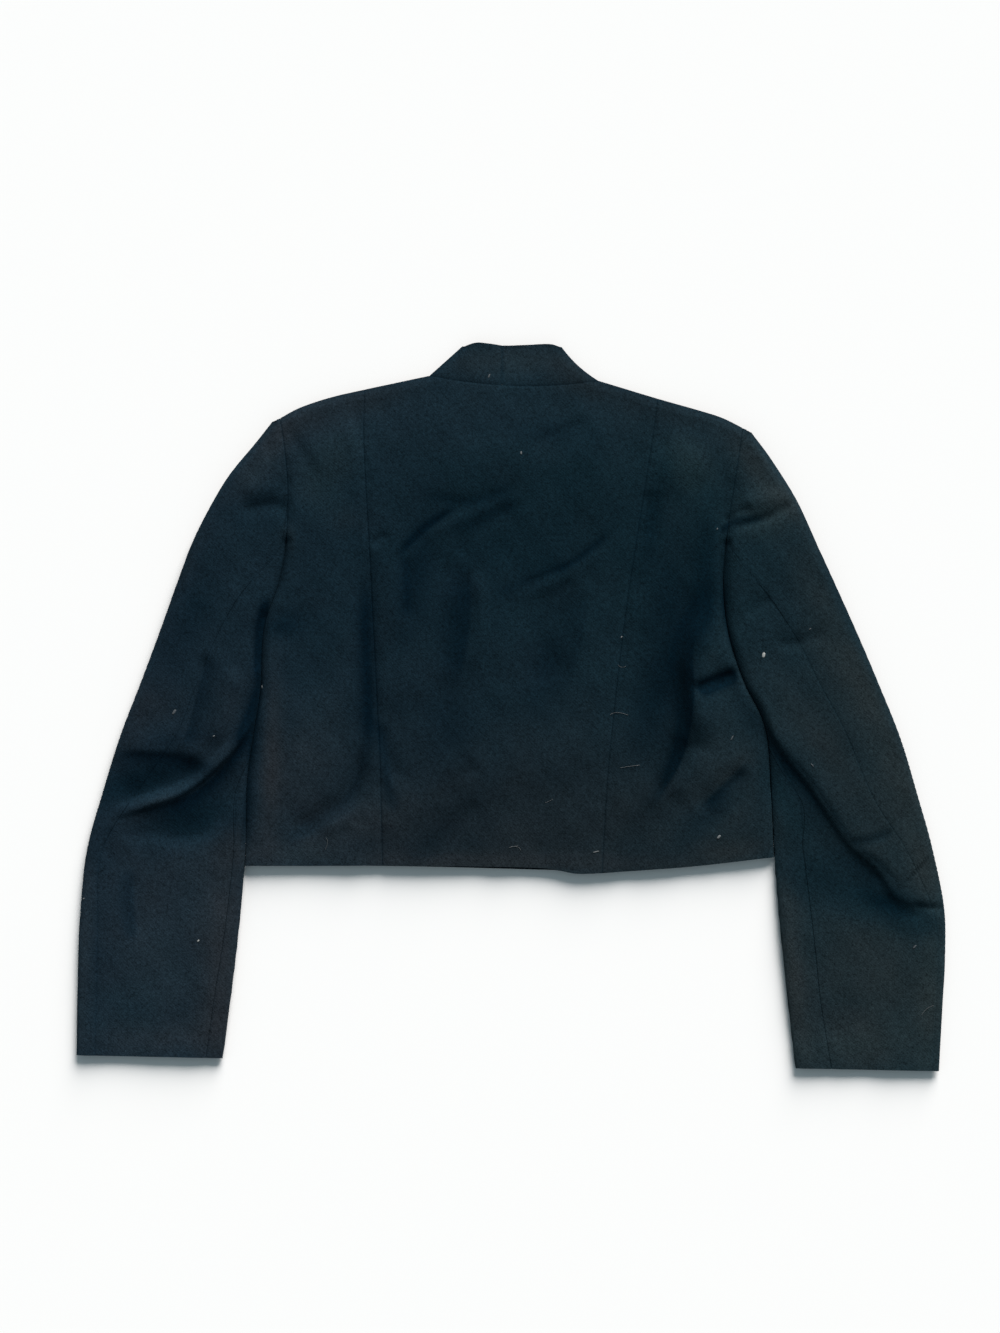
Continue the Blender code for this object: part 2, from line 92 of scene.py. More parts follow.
RIGHT_RINGS = [
    Ring(221.5, 252.0, 213.5, 256.5, 0.00, 0.00, 2),
    Ring(240.0, 227.0, 208.5, 223.0, 0.00, 0.00, 2),
    Ring(263.0, 190.0, 202.5, 184.0, 0.00, 0.00, 2),
    Ring(281.0, 151.0, 198.5, 150.0, 0.04, -0.04, 3),
    Ring(297.5, 115.0, 195.8, 112.0, 0.32, -0.22, 3),
    Ring(319.5, 66.0, 201.0, 66.0, 0.51, -0.28, 3),
    Ring(339.0, 20.0, 215.5, 22.0, 0.56, -0.20, 3),
    Ring(359.0, -30.0, 234.5, -18.0, 0.60, -0.06, 4),
    Ring(375.5, -85.0, 240.0, -78.0, 0.69, 0.17, 4),
    Ring(388.0, -130.0, 242.8, -130.0, 0.83, 0.18, 4),
    Ring(398.8, -184.0, 246.8, -185.0, 0.93, 0.19, 3),
    Ring(399.8, -228.0, 251.0, -229.0, 0.96, 0.20, 2),
    Ring(397.5, -275.0, 256.0, -275.0, 0.96, 0.21, 2),
    Ring(394.2, -335.8, 262.7, -333.0, 0.96, 0.25, 0),
]
UNDERARM_RING = 3
LEFT_HEM_RING, RIGHT_HEM_RING = 9.19, 9.155  # where the body's hem meets each sleeve
SLEEVE_ROWS = 7  # mesh rows for each of a ring's own rows
UNDER_SLEEVE_START = UNDERARM_RING - 0.9
SLEEVE_SEAM_TURN = 0.0011  # half of a sleeve seam's gap, as a share of the way across a layer
EDGE_WIDENING, EDGE_WIDENING_TURN = 3.0, 0.12  # of that gap, and how near the folded edge it widens
TIP_CLEARANCE_SHARE, TIP_RINGS = 0.65, 1.5  # of a folded edge's clearance, at the shoulder tip

# Seams and edges of the body, as points that a smooth line goes through. Each back seam meets
# its shoulder line at this share of it, from the shoulder tip.
SHOULDER_SEAM_SHARE = 0.75
LEFT_BACK_SEAM = [(-118.2, -146.2), (-120.5, -48.8), (-127.4, 98.4), (-134.8, 236.4), (-134.5, 291.6)]
RIGHT_BACK_SEAM = [(84.2, -153.1), (90.5, -50.0), (106.0, 88.0), (129.0, 238.0), (135.5, 283.2)]
LEFT_SHOULDER = [(-212.0, 265.5), (-193.7, 275.1), (-166.0, 284.3), (-134.5, 291.6), (-74.1, 304.5)]
RIGHT_SHOULDER = [(213.5, 256.5), (194.0, 266.0), (166.0, 274.6), (135.5, 283.2), (80.5, 299.9)]
LEFT_BACK_HEM = [(-244.4, -145.4), (-180.0, -146.0), (-118.2, -146.2)]
CENTRE_BACK_HEM = [(-118.2, -146.2), (-17.0, -147.2), (34.0, -149.0), (60.0, -153.6), (84.2, -153.1)]
RIGHT_BACK_HEM = [(84.2, -153.1), (128.0, -150.0), (174.0, -146.4), (243.3, -138.4)]
LEFT_FRONT_HEM = [(-244.4, -145.4), (-100.0, -145.0), (40.5, -147.5)]
RIGHT_FRONT_HEM = [(40.5, -150.5), (66.0, -153.6), (100.0, -151.8), (150.0, -147.0), (243.3, -138.0)]
FRONT_EDGE = [(40.5, -150.5), (22.0, 0.0), (9.0, 130.0), (3.0, 226.0)]
BACK_NECK = [(-74.1, 304.5), (-40.0, 299.0), (-8.0, 295.8), (15.0, 295.0), (50.0, 296.3), (80.5, 299.9)]
LEFT_FRONT_NECK = [(-74.1, 304.5), (-62.0, 275.0), (-38.0, 245.0), (3.0, 226.0)]
RIGHT_FRONT_NECK = [(80.5, 299.9), (70.0, 270.0), (44.0, 242.0), (3.0, 226.0)]

# Each half of the collar runs from the centre back, over its side fold, to the centre front
CENTRE_BACK_SHARE = 0.4  # of the back neck, from its left end
LEFT_COLLAR_TOP = [(-8.0, 332.8), (-20.0, 334.6), (-32.0, 335.4), (-44.0, 331.5)]
LEFT_COLLAR_FRONT_TOP = [(-44.0, 331.5), (-30.0, 295.0), (-14.0, 274.0), (3.0, 264.0)]
RIGHT_COLLAR_TOP = [(-8.0, 332.8), (15.0, 333.4), (36.0, 334.2), (46.5, 331.0)]
RIGHT_COLLAR_FRONT_TOP = [(46.5, 331.0), (36.0, 295.0), (20.0, 274.0), (3.0, 264.0)]
LEFT_COLLAR_SAG, RIGHT_COLLAR_SAG = (0.0, 0.0), (-1.6, -1.75)  # of a side fold's middle
COLLAR_FOLD_SHARPNESS = 4  # how close to a side fold its sag and clearance set in
COLLAR_CLEARANCE_SHARE = 0.4  # of a folded edge's clearance, between the side fold and the neck

# Folds of the upper layer: a ridge, or a trough where the height is negative, along a smooth
# line through the route's points. The two widths are to the left and right of the way along it.
Fold = namedtuple("Fold", "height left_width right_width route")
FOLDS = [
    # slanting folds below the neck
    Fold(-0.9, 5, 3, [(-44, 186), (-68, 172), (-90, 154), (-108, 128)]),
    Fold(-0.8, 7, 6, [(12, 204), (-20, 193), (-48, 188), (-86, 198)]),
    Fold(1.1, 6, 6, [(14, 200), (-20, 184), (-48, 171), (-84, 152)]),
    Fold(-1.1, 8, 8, [(16, 190), (-18, 174), (-38, 152), (-48, 132)]),
    Fold(-1.3, 5, 5, [(-113, 160), (-121, 154), (-129, 148)]),
    Fold(-0.8, 5, 3, [(102, 170), (80, 151), (60, 135), (34, 122), (-6, 109)]),
    Fold(0.9, 6, 7, [(92, 148), (64, 128), (36, 113), (-4, 95)]),
    Fold(-1.0, 6, 6, [(58, 117), (46, 108), (38, 95)]),
    Fold(-2.0, 20, 7, [(79, 265), (46, 251), (12, 235)]),
    Fold(-1.6, 13, 4, [(128, 203), (125, 178), (119, 146)]),
    # fullness over the shoulder blades
    Fold(3.6, 26, 62, [(-75, 232), (20, 236), (118, 226)]),
    # along the left back seam
    Fold(-3.0, 14, 10, [(-134, 149), (-130, 62), (-126, -35)]),
    Fold(2.6, 16, 24, [(-106, 140), (-103, 62), (-104, -20)]),
    Fold(-3.6, 9, 10, [(-135, -30), (-148, -78), (-176, -101), (-206, -120)]),
    Fold(2.0, 8, 8, [(-124, -90), (-148, -101), (-176, -117)]),
    Fold(-2.4, 9, 5, [(-119, -12), (-113, -44), (-103, -76)]),
    Fold(-0.9, 6, 6, [(-126, -87), (-138, -98), (-148, -109)]),
    # left underarm
    Fold(-3.5, 6, 5, [(-223, 93), (-232, 66), (-233, 27)]),
    Fold(-0.8, 6, 6, [(-223, 87), (-207, 84), (-190, 78)]),
    # middle of the back
    Fold(-2.4, 6, 14, [(-41, 131), (-36, 80), (-50, 32)]),
    Fold(2.6, 9, 30, [(-36, 128), (-30, 80), (-42, 30)]),
    Fold(-1.6, 14, 14, [(-54, 34), (-59, -7), (-46, -56)]),
    Fold(-1.4, 6, 6, [(-95, 140), (-94, 108), (-92, 73)]),
    Fold(-1.6, 6, 13, [(-28, -52), (-46, -67), (-63, -93)]),
    Fold(-1.0, 7, 9, [(-24, -87), (-46, -106), (-70, -130)]),
    Fold(-2.2, 18, 16, [(57, 113), (32, 62), (35, 16)]),
    Fold(1.4, 18, 18, [(-74, 140), (-76, 62), (-80, -12)]),
    Fold(1.2, 22, 22, [(-10, 98), (-7, 43), (-12, -12)]),
    # right side panel
    Fold(-3.0, 9, 26, [(169, 121), (152, 34), (165, -40)]),
    Fold(-2.4, 7, 14, [(166, -26), (153, -52), (130, -88)]),
    Fold(4.0, 20, 9, [(185, 102), (168, 43), (172, 6), (176, -41)]),
    Fold(4.0, 16, 46, [(186, 106), (172, 43), (174, 6), (170, -50)]),
    Fold(2.2, 15, 6, [(174, -36), (165, -58), (145, -86)]),
    # nip at the right underarm
    Fold(-5.0, 6, 8, [(165, 14), (188, 24), (213, 34)]),
    Fold(1.0, 8, 8, [(176, 64), (186, 52), (194, 45)]),
    Fold(-3.0, 7, 11, [(218, -56), (195, -75), (171, -98)]),
    Fold(-1.0, 8, 8, [(189, -93), (185, -102), (178, -113)]),
    # left armhole
    Fold(-1.6, 5, 9, [(-207, 232), (-207, 181), (-217, 121), (-229, 75)]),
    # right armhole
    Fold(-2.6, 9, 6, [(202, 218), (196, 163), (196, 98), (201, 52)]),
    # left sleeve head
    Fold(-2.2, 8, 5, [(-203, 180), (-219, 186), (-253, 181)]),
    Fold(1.4, 8, 8, [(-210, 199), (-229, 202), (-249, 197)]),
    # beside the left sleeve's back seam
    Fold(-3.0, 10, 5, [(-280, 52), (-288, 16), (-300, -41)]),
    Fold(2.8, 9, 9, [(-253, 39), (-262, 2), (-273, -40)]),
    Fold(-0.9, 11, 11, [(-282, 98), (-289, 78), (-299, 52)]),
    # step and hollow above the left elbow's roll
    Fold(2.4, 16, 6, [(-363, -37), (-332, -38), (-302, -40), (-273, -49)]),
    Fold(-4.0, 20, 5, [(-370, -91), (-334, -78), (-302, -68), (-275, -52)]),
    # roll over the left elbow
    Fold(4.6, 2.8, 7, [(-228, 4), (-251, -32), (-273, -56), (-303, -79), (-333, -90), (-372, -103)]),
    # hollow below it
    Fold(-3.6, 10, 20, [(-243, -49), (-262, -86), (-289, -117), (-332, -115), (-367, -115)]),
    Fold(-1.2, 5, 11, [(-346, -152), (-344, -178), (-340, -213)]),
    Fold(-1.0, 4.5, 4.5, [(-368, -109), (-372, -124), (-374, -141)]),
    Fold(-0.6, 11, 11, [(-280, -265), (-299, -282), (-322, -306)]),
    # right sleeve head
    Fold(-1.4, 4, 4, [(193, 170), (209, 178), (224, 184)]),
    Fold(-2.2, 4, 6, [(200, 166), (237, 175), (264, 191)]),
    Fold(1.6, 8, 8, [(209, 190), (230, 190), (253, 198)]),
    Fold(-1.6, 7, 6, [(240, 58), (266, 59), (294, 71)]),
    Fold(-1.2, 6, 6, [(215, 83), (228, 93), (242, 100)]),
    # upper arm over the right forearm
    Fold(
        3.6, 34, 4.2,
        [
            (206, 43), (227, 5), (251, -38), (276, -70), (295, -98),
            (314, -125), (342, -151), (356, -173), (391, -184),
        ],
    ),
    # hollow below it
    Fold(-1.2, 4, 34, [(199, 39), (221, 1), (249, -40), (276, -71), (312, -124), (345, -151), (369, -185)]),
    Fold(-2.4, 8, 8, [(340, -173), (362, -188), (390, -191)]),
    Fold(-1.2, 5, 5, [(310, -126), (334, -122), (356, -112)]),
    Fold(-2.0, 3.7, 3.7, [(368, -182), (386, -185), (403, -186)]),
    # beside the collar's centre seam
    Fold(-0.9, 7, 3, [(-2, 339), (-2, 317), (-1, 292)]),
    # left shoulder pad
    Fold(3.0, 34, 34, [(-194, 231), (-166, 246), (-137, 253)]),
    # right shoulder pad
    Fold(3.0, 34, 34, [(193, 224), (165, 236), (138, 245)]),
]

# Painted shade where little light reaches, at the foot of folds: how much darker the cloth's colour is
# painted along a route
Shade = namedtuple("Shade", "tone left_width right_width route")
SHADES = [
    # slanting folds below the neck
    Shade(-0.7, 3, 5, [(-46, 185), (-68, 172), (-88, 156), (-106, 136)]),
    Shade(-0.4, 7, 6, [(12, 204), (-18, 193), (-44, 188), (-86, 198)]),
    Shade(-0.3, 7, 7, [(16, 191), (-20, 175), (-58, 160)]),
    Shade(-0.5, 5, 3, [(92, 162), (76, 148), (58, 134), (36, 122)]),
    Shade(-0.25, 7, 4, [(60, 138), (34, 124), (8, 113), (-20, 102)]),
    # along the left back seam and away above the hem
    Shade(-1.0, 9, 10, [(-133, 134), (-133, 60), (-131, 2), (-130, -50)]),
    Shade(-0.5, 8, 5, [(-131, -16), (-136, -54), (-150, -84), (-181, -108), (-213, -126)]),
    Shade(-0.6, 6, 5, [(-122, -4), (-117, -40), (-113, -72), (-106, -100)]),
    # middle of the back
    Shade(-0.45, 2.5, 17, [(-40, 136), (-38, 92), (-42, 54), (-52, 14)]),
    Shade(-0.25, 4, 28, [(68, 116), (66, 78), (58, 40), (42, 4)]),
    Shade(-0.35, 3, 7, [(-97, 146), (-95, 112), (-94, 78)]),
    # right side panel
    Shade(-1.3, 2.5, 11, [(174, 98), (164, 50), (166, 11), (163, -20), (154, -52), (125, -102)]),
    Shade(-0.9, 10, 2.5, [(222, -50), (198, -72), (172, -96)]),
    Shade(-0.6, 3, 3, [(196, 116), (198, 80), (206, 44)]),
    # nip at the right underarm
    Shade(-2.2, 5, 9, [(168, 16), (191, 25), (211, 33)]),
    # right sleeve head
    Shade(-0.8, 3, 4, [(190, 160), (206, 170), (238, 175)]),
    # left underarm
    Shade(-1.8, 2, 6, [(-222, 106), (-228, 78), (-231, 46), (-229, 14)]),
    # step and hollow above the left elbow's roll
    Shade(-0.7, 4, 14, [(-380, -44), (-338, -44), (-304, -48), (-256, -62)]),
    Shade(-0.5, 12, 2, [(-276, 50), (-286, 16), (-303, -46)]),
    # crease where that roll meets the body
    Shade(-1.3, 2, 9, [(-228, 32), (-232, 4), (-238, -20), (-249, -40)]),
    Shade(-0.8, 6, 3, [(-229, 20), (-236, -20), (-241, -58), (-244, -100), (-247, -142)]),
    # foot of that roll
    Shade(-0.9, 12, 2, [(-232, -8), (-256, -46), (-280, -72), (-306, -87), (-342, -100)]),
    # left forearm
    Shade(-0.5, 4, 8, [(-351, -146), (-351, -184), (-346, -220)]),
    # outer edge of the right upper arm
    Shade(-0.5, 2, 6, [(276, 162), (297, 116), (319, 66), (339, 20), (359, -30), (382, -108)]),
    # foot of the upper arm over the right forearm
    Shade(-0.5, 2, 12, [(201, 40), (223, -2), (249, -44), (275, -77), (309, -128), (339, -157), (386, -192)]),
    Shade(-0.4, 3, 30, [(222, 4), (252, -40), (279, -70), (315, -124), (346, -151), (364, -186)]),
    Shade(-0.5, 4, 4, [(310, -125), (332, -122), (354, -114)]),
]
EDGE_PAINTED_SHADE = 1.0  # painted shade where the cloth turns over a folded edge at the shoulders
SHOULDER_LOW, SHOULDER_HIGH = 0.0, 200.0  # between these heights that painted shade sets in
EDGE_CLEARANCE_SHARE = 0.42  # of the wall, between a folded edge's middle and the line beside it
ROUTE_FADE = 0.24  # share of a fold's or shade's length over which it dies out at each end
ROUTE_STEPS = 40
ROUTE_REACH = 2.6  # widths beyond which nothing is left of it

# Slow unevenness of cloth that has been worn: waves across the plan
Wave = namedtuple("Wave", "across_x across_y start height")
WAVES = [
    Wave(1 / 74, 1 / 210, 0.3, 0.34),
    Wave(-1 / 190, 1 / 58, 1.9, 0.26),
    Wave(1 / 47, -1 / 83, 4.1, 0.20),
    Wave(1 / 33, 1 / 39, 2.2, 0.12),
]

# Painted shade and painted highlight, where the cloth's colour is made darker or paler, and a tint,
# greener or redder, partly the cloth's own and partly the bluer tint of painted shade: an oval's
# middle, half its length and width, the way it points, and how much of each
Patch = namedtuple("Patch", "x y long wide degrees tone cast")
PATCHES = [
    # whole regions
    Patch(10, 140, 200, 95, 0, -0.35, -1.9),
    Patch(-20, -105, 240, 58, 0, 0.1, 2.2),
    Patch(-325, -215, 120, 62, 88, 0.35, 0.5),
    Patch(-266, -245, 110, 20, 86, 0.4, 1.6),
    Patch(325, -250, 105, 66, 88, 0.35, 1.3),
    Patch(258, -245, 90, 14, -86, 0.5, 1.0),
    Patch(328, 14, 130, 30, -63, 0.55, 1.6),
    # shoulders and collar
    Patch(-160, 277, 100, 18, 20, -0.1, 2.0),
    Patch(140, 278, 92, 18, -18, -0.3, 1.7),
    Patch(66, 312, 30, 24, -50, 0.05, 1.9),
    Patch(0, 319, 69, 15, 0, 0.35, 0.0),
    Patch(-168, 218, 40, 26, 60, 0.6, -1.2),
    Patch(165, 219, 38, 24, -60, 0.6, -0.8),
    Patch(34, 253, 70, 16, -6, -0.35, 0.0),
    Patch(50, 212, 90, 28, 0, -0.05, -0.9),
    Patch(-224, 232, 46, 17, 56, 0.45, 0.7),
    Patch(224, 222, 44, 16, -56, 0.5, 0.9),
    # centre of the back
    Patch(-88, 116, 66, 16, 80, -0.5, 0.0),
    Patch(-54, 70, 50, 14, 88, -0.3, 0.0),
    Patch(-14, 108, 100, 22, 0, 0.0, 0.7),
    Patch(44, 136, 56, 12, 28, -0.2, -0.2),
    Patch(-57, -18, 46, 30, 80, -0.4, 0.2),
    Patch(-74, -126, 22, 12, 40, -0.4, 0.2),
    Patch(30, 32, 40, 20, 80, -0.4, 0.3),
    Patch(40, -70, 56, 32, 10, -0.3, 0.2),
    Patch(-45, -88, 46, 26, 40, -0.35, 0.5),
    # left side panel
    Patch(-150, 172, 26, 18, 0, 0.35, 0.8),
    Patch(-180, 90, 90, 30, 88, -0.1, -0.4),
    Patch(-190, -46, 60, 29, 80, 0.3, 0.3),
    Patch(-210, 75, 20, 12, 10, -0.7, -1.0),
    Patch(-205, 154, 16, 8, 88, 0.5, 0.0),
    Patch(-150, -112, 50, 14, 22, 0.4, -0.8),
    Patch(-202, -136, 48, 14, 0, 0.5, -0.6),
    Patch(-40, -143, 90, 10, 0, 0.4, 1.0),
    Patch(105, -146, 60, 10, 0, 0.1, 1.2),
    Patch(-220, -40, 84, 10, 88, 0.35, 1.2),
    # right side panel
    Patch(152, 43, 81, 26, 85, -0.65, -0.2),
    Patch(158, 30, 50, 9, 88, 0.0, 1.8),
    Patch(176, 84, 28, 14, 80, -0.6, -0.3),
    Patch(124, -4, 46, 22, 80, -0.45, -0.5),
    Patch(183, 47, 11, 8, 60, 0.35, 0.3),
    Patch(140, 102, 40, 20, 80, -0.3, -0.2),
    Patch(138, -80, 34, 13, 55, -0.4, 0.8),
    Patch(182, 140, 60, 14, 88, -0.4, -0.8),
    Patch(130, 172, 44, 11, 80, -0.4, -0.6),
    Patch(185, -97, 34, 12, 40, -0.5, -0.8),
    Patch(209, -70, 44, 20, 60, 0.25, 0.8),
    Patch(208, -134, 30, 14, 5, 0.4, 1.0),
    # left sleeve
    Patch(-232, 176, 30, 24, 0, -0.2, -0.8),
    Patch(-295, 76, 50, 22, 68, -0.4, -0.6),
    Patch(-256, 120, 60, 18, 68, 0.1, 0.0),
    Patch(-300, 128, 52, 11, 68, 0.0, 1.4),
    Patch(-259, -4, 44, 14, 70, 0.0, 1.1),
    Patch(-246, -20, 26, 7, 70, -0.6, 0.0),
    Patch(-308, -30, 36, 12, 8, -0.6, 0.4),
    Patch(-345, -12, 36, 18, 60, 0.0, 1.7),
    Patch(-340, -70, 50, 16, 14, -0.7, -2.8),
    Patch(-322, -88, 24, 6, 18, 0.3, 0.0),
    Patch(-290, -102, 40, 20, 18, -0.65, -3.6),
    Patch(-352, -280, 62, 40, 60, 0.0, -1.6),
    Patch(-330, -306, 76, 16, 0, 0.25, 0.6),
    Patch(-394, -230, 90, 8, 88, 0.5, 0.0),
    # right sleeve
    Patch(239, 180, 37, 22, 25, 0.6, 0.2),
    Patch(276, 164, 44, 11, -62, 0.0, 1.4),
    Patch(286, -30, 80, 24, -58, 0.1, 1.6),
    Patch(252, -86, 40, 12, -62, 0.0, -1.8),
    Patch(300, -118, 26, 9, -56, 0.4, 0.0),
    Patch(310, -168, 80, 22, -24, -0.5, -1.4),
    Patch(352, -186, 34, 12, -25, -0.8, -1.4),
    Patch(381, -150, 46, 13, -70, 0.3, 0.8),
    Patch(326, -312, 80, 18, 0, 0.35, -0.5),
    Patch(388, -272, 80, 14, 88, 0.5, 0.2),
]

# Across a seam: a sharp groove in a soft one, raised turnings to each side, and ripples along it
# Painted shade along each seam's narrow groove, on top of the groove's own relief
SEAM_PAINTED_SHADE = 0.5
SEAM_REACH, SEAM_LINE_REACH = 24.0, 4.0  # beyond which nothing is left of its relief and its dark line
SEAM_LINE_WIDTH, SEAM_SOFT_WIDTH = 0.9, 3.5
SEAM_SHARP_SHARE = 0.7  # of the dip, in the sharp groove
TURNING_SHARE, TURNING_DISTANCE, TURNING_WIDTH = 0.2, 7.0, 3.5
RIPPLE_WIDTH, RIPPLE_RUN, RIPPLE_SWELL_RUN = 6.0, 2.3, 41.0
RIPPLE_WANDER, RIPPLE_WANDER_RUN = 1.3, 17.0
SLEEVE_SEAM_DEPTH, COLLAR_SEAM_DEPTH, NECK_SEAM_DEPTH = 0.3, 0.6, 0.6  # as shares of the body's

# Bits of lint on the cloth: where they lie, their length and width, and the way they point
Fleck = namedtuple("Fleck", "x y length width degrees pale")
FLECKS = [
    Fleck(-19.8, 304.5, 4.4, 1.5, 55, 0.08),
    Fleck(9.7, 233.2, 2.9, 1.7, 65, 0.17),
    Fleck(190.0, 163.8, 1.9, 1.4, 30, 0.1),
    Fleck(232.8, 47.8, 4.8, 3.2, 50, 0.55),
    Fleck(102.1, 64.4, 2.0, 1.5, 20, 0.18),
    Fleck(-309.6, -4.6, 5.6, 2.4, 40, 0.06),
    Fleck(-272.8, -26.7, 1.8, 1.5, 0, 0.16),
    Fleck(-228.6, 18.4, 3.6, 1.6, 80, 0.18),
    Fleck(191.8, -119.6, 4.4, 2.4, 25, 0.2),
    Fleck(78.7, -133.4, 6.4, 1.2, 8, 0.15),
    Fleck(-287.5, -215.3, 2.2, 2.0, 0, 0.4),
    Fleck(203.8, -28.5, 5.0, 1.1, 55, 0.07),
    Fleck(-393.3, -176.6, 1.9, 1.2, 10, 0.2),
    Fleck(372.1, -220.8, 4.6, 1.6, 35, 0.05),
    Fleck(275.5, 71.8, 2.4, 1.2, 20, 0.06),
    Fleck(277.4, -53.4, 4.2, 1.2, -60, 0.04),
]
Hair = namedtuple("Hair", "start_x start_y bend_x bend_y end_x end_y width pale")
HAIRS = [
    Hair(91.5, -7.4, 96.1, -2.8, 108.1, -7.4, 0.30, 0.14),
    Hair(100.7, -56.1, 109.9, -54.3, 119.1, -53.4, 0.32, 0.14),
    Hair(-170.7, -131.6, -167.0, -123.3, -169.7, -120.5, 0.28, 0.14),
    Hair(-0.5, -128.8, 7.8, -127.0, 9.7, -132.5, 0.30, 0.14),
    Hair(-1.4, -129.7, 3.2, -127.9, 6.9, -127.9, 0.28, 0.14),
    Hair(378.6, -284.3, 382.3, -276.9, 389.6, -275.1, 0.30, 0.14),
    Hair(31.7, -88.3, 36.3, -86.5, 39.1, -84.6, 0.28, 0.14),
    Hair(98.9, 38.6, 102.6, 35.0, 106.3, 37.7, 0.24, 0.14),
]
HAIR_STEPS = 18
FLECK_HALF_HEIGHT, FLECK_LIFT = 0.35, 0.2
FLECK_CURL, FLECK_CURL_TURN = 0.18, 5.0
FAINT_LINT = (0.02, 0.03, 0.04)  # lint so thin that the wool shows through
FLUFF_CONTRAST = 0.4
LINT_ROUGHNESS, LINT_ROUGHNESS_SPREAD = 0.9, 0.1

# The wool's noises: how fine each is, in features a metre, and how much of each goes into what
DRIFT_SCALE, BLOTCH_SCALE, TWILL_SCALE, TUFT_SCALE, NAP_SCALE = 7.5, 23.0, 190.0, 330.0, 900.0
TONE_WEIGHT, CAST_WEIGHT, DRIFT_WEIGHT, BLOTCH_WEIGHT = 0.5, 0.25, 0.3, 0.5
NAP_CONTRAST, TUFT_CONTRAST, DARKEST_GRAIN = 2.6, 1.2, 0.2
NAP_RELIEF, TUFT_RELIEF, TWILL_RELIEF = 0.8, 0.35, 0.22
NAP_DEPTH, BUMP_STRENGTH = 0.0004, 0.5
ROUGHNESS_SPREAD = 0.18
JACKET_SPAN = 0.8  # over which the tint goes from the left sleeve's to the right sleeve's
COLOUR_A, COLOUR_B, COLOUR_RESULT = 6, 7, 2  # places of a Mix node's colour sockets

# Points along the lines that heights are measured from, and along parts of a line
EDGE_STEPS, SEAM_STEPS, SHOULDER_STEPS, PART_STEPS = 64, 56, 9, 7
TURN_STEPS = 200
SEAM_SHOWS_FROM = 0.02  # share of a sleeve's width at which a seam counts as on the upper layer
TUBE_SLIT = 1e-6  # keeps the first and last points round a whole ring on their own layers

# How strongly a grid's lines crowd towards folded edges, a panel's two sides and the shoulder
EDGE_CROWDING, SIDE_CROWDING, SHOULDER_CROWDING = 1.8, 0.75, 0.25
RING_CROWDING, SEAM_CROWDING = 0.62, 0.6  # and a sleeve's towards its edges and its seams
SMOOTH_ANGLE = 0.9

FLOOR_SIZE, FLOOR_DROP = 14.0, 0.0004
SENSOR_HEIGHT = 36.0
CAMERA_X, CAMERA_Y = -0.0098, 0.0375
CLOTH_HEIGHT = 0.012  # at which the picture scale holds


class ClothSizes(bpy.types.PropertyGroup):
    """How thick the cloth is and how it turns and dips"""

    wall: bpy.props.FloatProperty(
        name="Thickness", description="Shell and lining together", default=0.0022, unit="LENGTH"
    )
    seam_gap: bpy.props.FloatProperty(
        name="Seam Gap", description="Between two panels at a seam", default=0.0003, unit="LENGTH"
    )
    edge_roll: bpy.props.FloatProperty(
        name="Edge Roll",
        description="How far in from a folded edge the cloth takes to lie flat",
        default=0.009,
        unit="LENGTH",
    )
    edge_middle: bpy.props.FloatProperty(
        name="Edge Height", description="Height of a folded edge's middle", default=0.0046, unit="LENGTH"
    )
    seam_dip: bpy.props.FloatProperty(
        name="Seam Dip", description="How far the cloth sinks at a seam", default=0.0009, unit="LENGTH"
    )
    pucker: bpy.props.FloatProperty(
        name="Pucker", description="Height of the ripples along a seam", default=0.00016, unit="LENGTH"
    )


class WoolLook(bpy.types.PropertyGroup):
    """Colours and finish of the wool"""

    # painted shade: colour of the cloth where the painted shading is deepest
    hollow: bpy.props.FloatVectorProperty(
        name="Hollow", description="Cloth in the deepest hollows", subtype="COLOR", size=3,
        default=(0.0012, 0.0070, 0.0125), min=0, max=1,
    )
    open_cloth: bpy.props.FloatVectorProperty(
        name="Open Cloth", description="Most of the cloth", subtype="COLOR", size=3,
        default=(0.0088, 0.0196, 0.0272), min=0, max=1,
    )
    # painted highlight: colour of the cloth where the painted shading is palest
    painted_highlight: bpy.props.FloatVectorProperty(
        name="Crest", description="Cloth where the nap is brushed palest", subtype="COLOR", size=3,
        default=(0.0250, 0.0368, 0.0422), min=0, max=1,
    )
    teal: bpy.props.FloatVectorProperty(
        name="Teal Cast", description="Tint where the cloth looks greenest", subtype="COLOR", size=3,
        default=(0.60, 0.90, 0.92), min=0, max=1,
    )
    navy: bpy.props.FloatVectorProperty(
        name="Navy Cast", description="Tint over most of the cloth", subtype="COLOR", size=3,
        default=(0.78, 0.87, 0.89), min=0, max=1,
    )
    plum: bpy.props.FloatVectorProperty(
        name="Plum Cast", description="Tint where the cloth looks reddest", subtype="COLOR", size=3,
        default=(1.0, 0.81, 0.76), min=0, max=1,
    )
    heather: bpy.props.FloatVectorProperty(
        name="Heather Cast", description="Tint towards the left sleeve", subtype="COLOR", size=3,
        default=(1.0, 0.90, 1.0), min=0, max=1,
    )
    moss: bpy.props.FloatVectorProperty(
        name="Moss Cast", description="Tint towards the right sleeve", subtype="COLOR", size=3,
        default=(0.97, 1.0, 0.95), min=0, max=1,
    )
    roughness: bpy.props.FloatProperty(
        name="Roughness", description="Matt surface of the nap", default=0.9, min=0, max=1, subtype="FACTOR"
    )
    sheen: bpy.props.FloatProperty(
        name="Sheen", description="Bloom of the nap at low angles", subtype="FACTOR",
        default=0.02, min=0, max=1,
    )
    bloom: bpy.props.FloatVectorProperty(
        name="Bloom", description="Tint of the nap at low angles", subtype="COLOR", size=3,
        default=(0.25, 0.55, 0.75), min=0, max=1,
    )
    lint: bpy.props.FloatVectorProperty(
        name="Lint", description="Colour of the lint", subtype="COLOR", size=3,
        default=(0.50, 0.52, 0.50), min=0, max=1,
    )


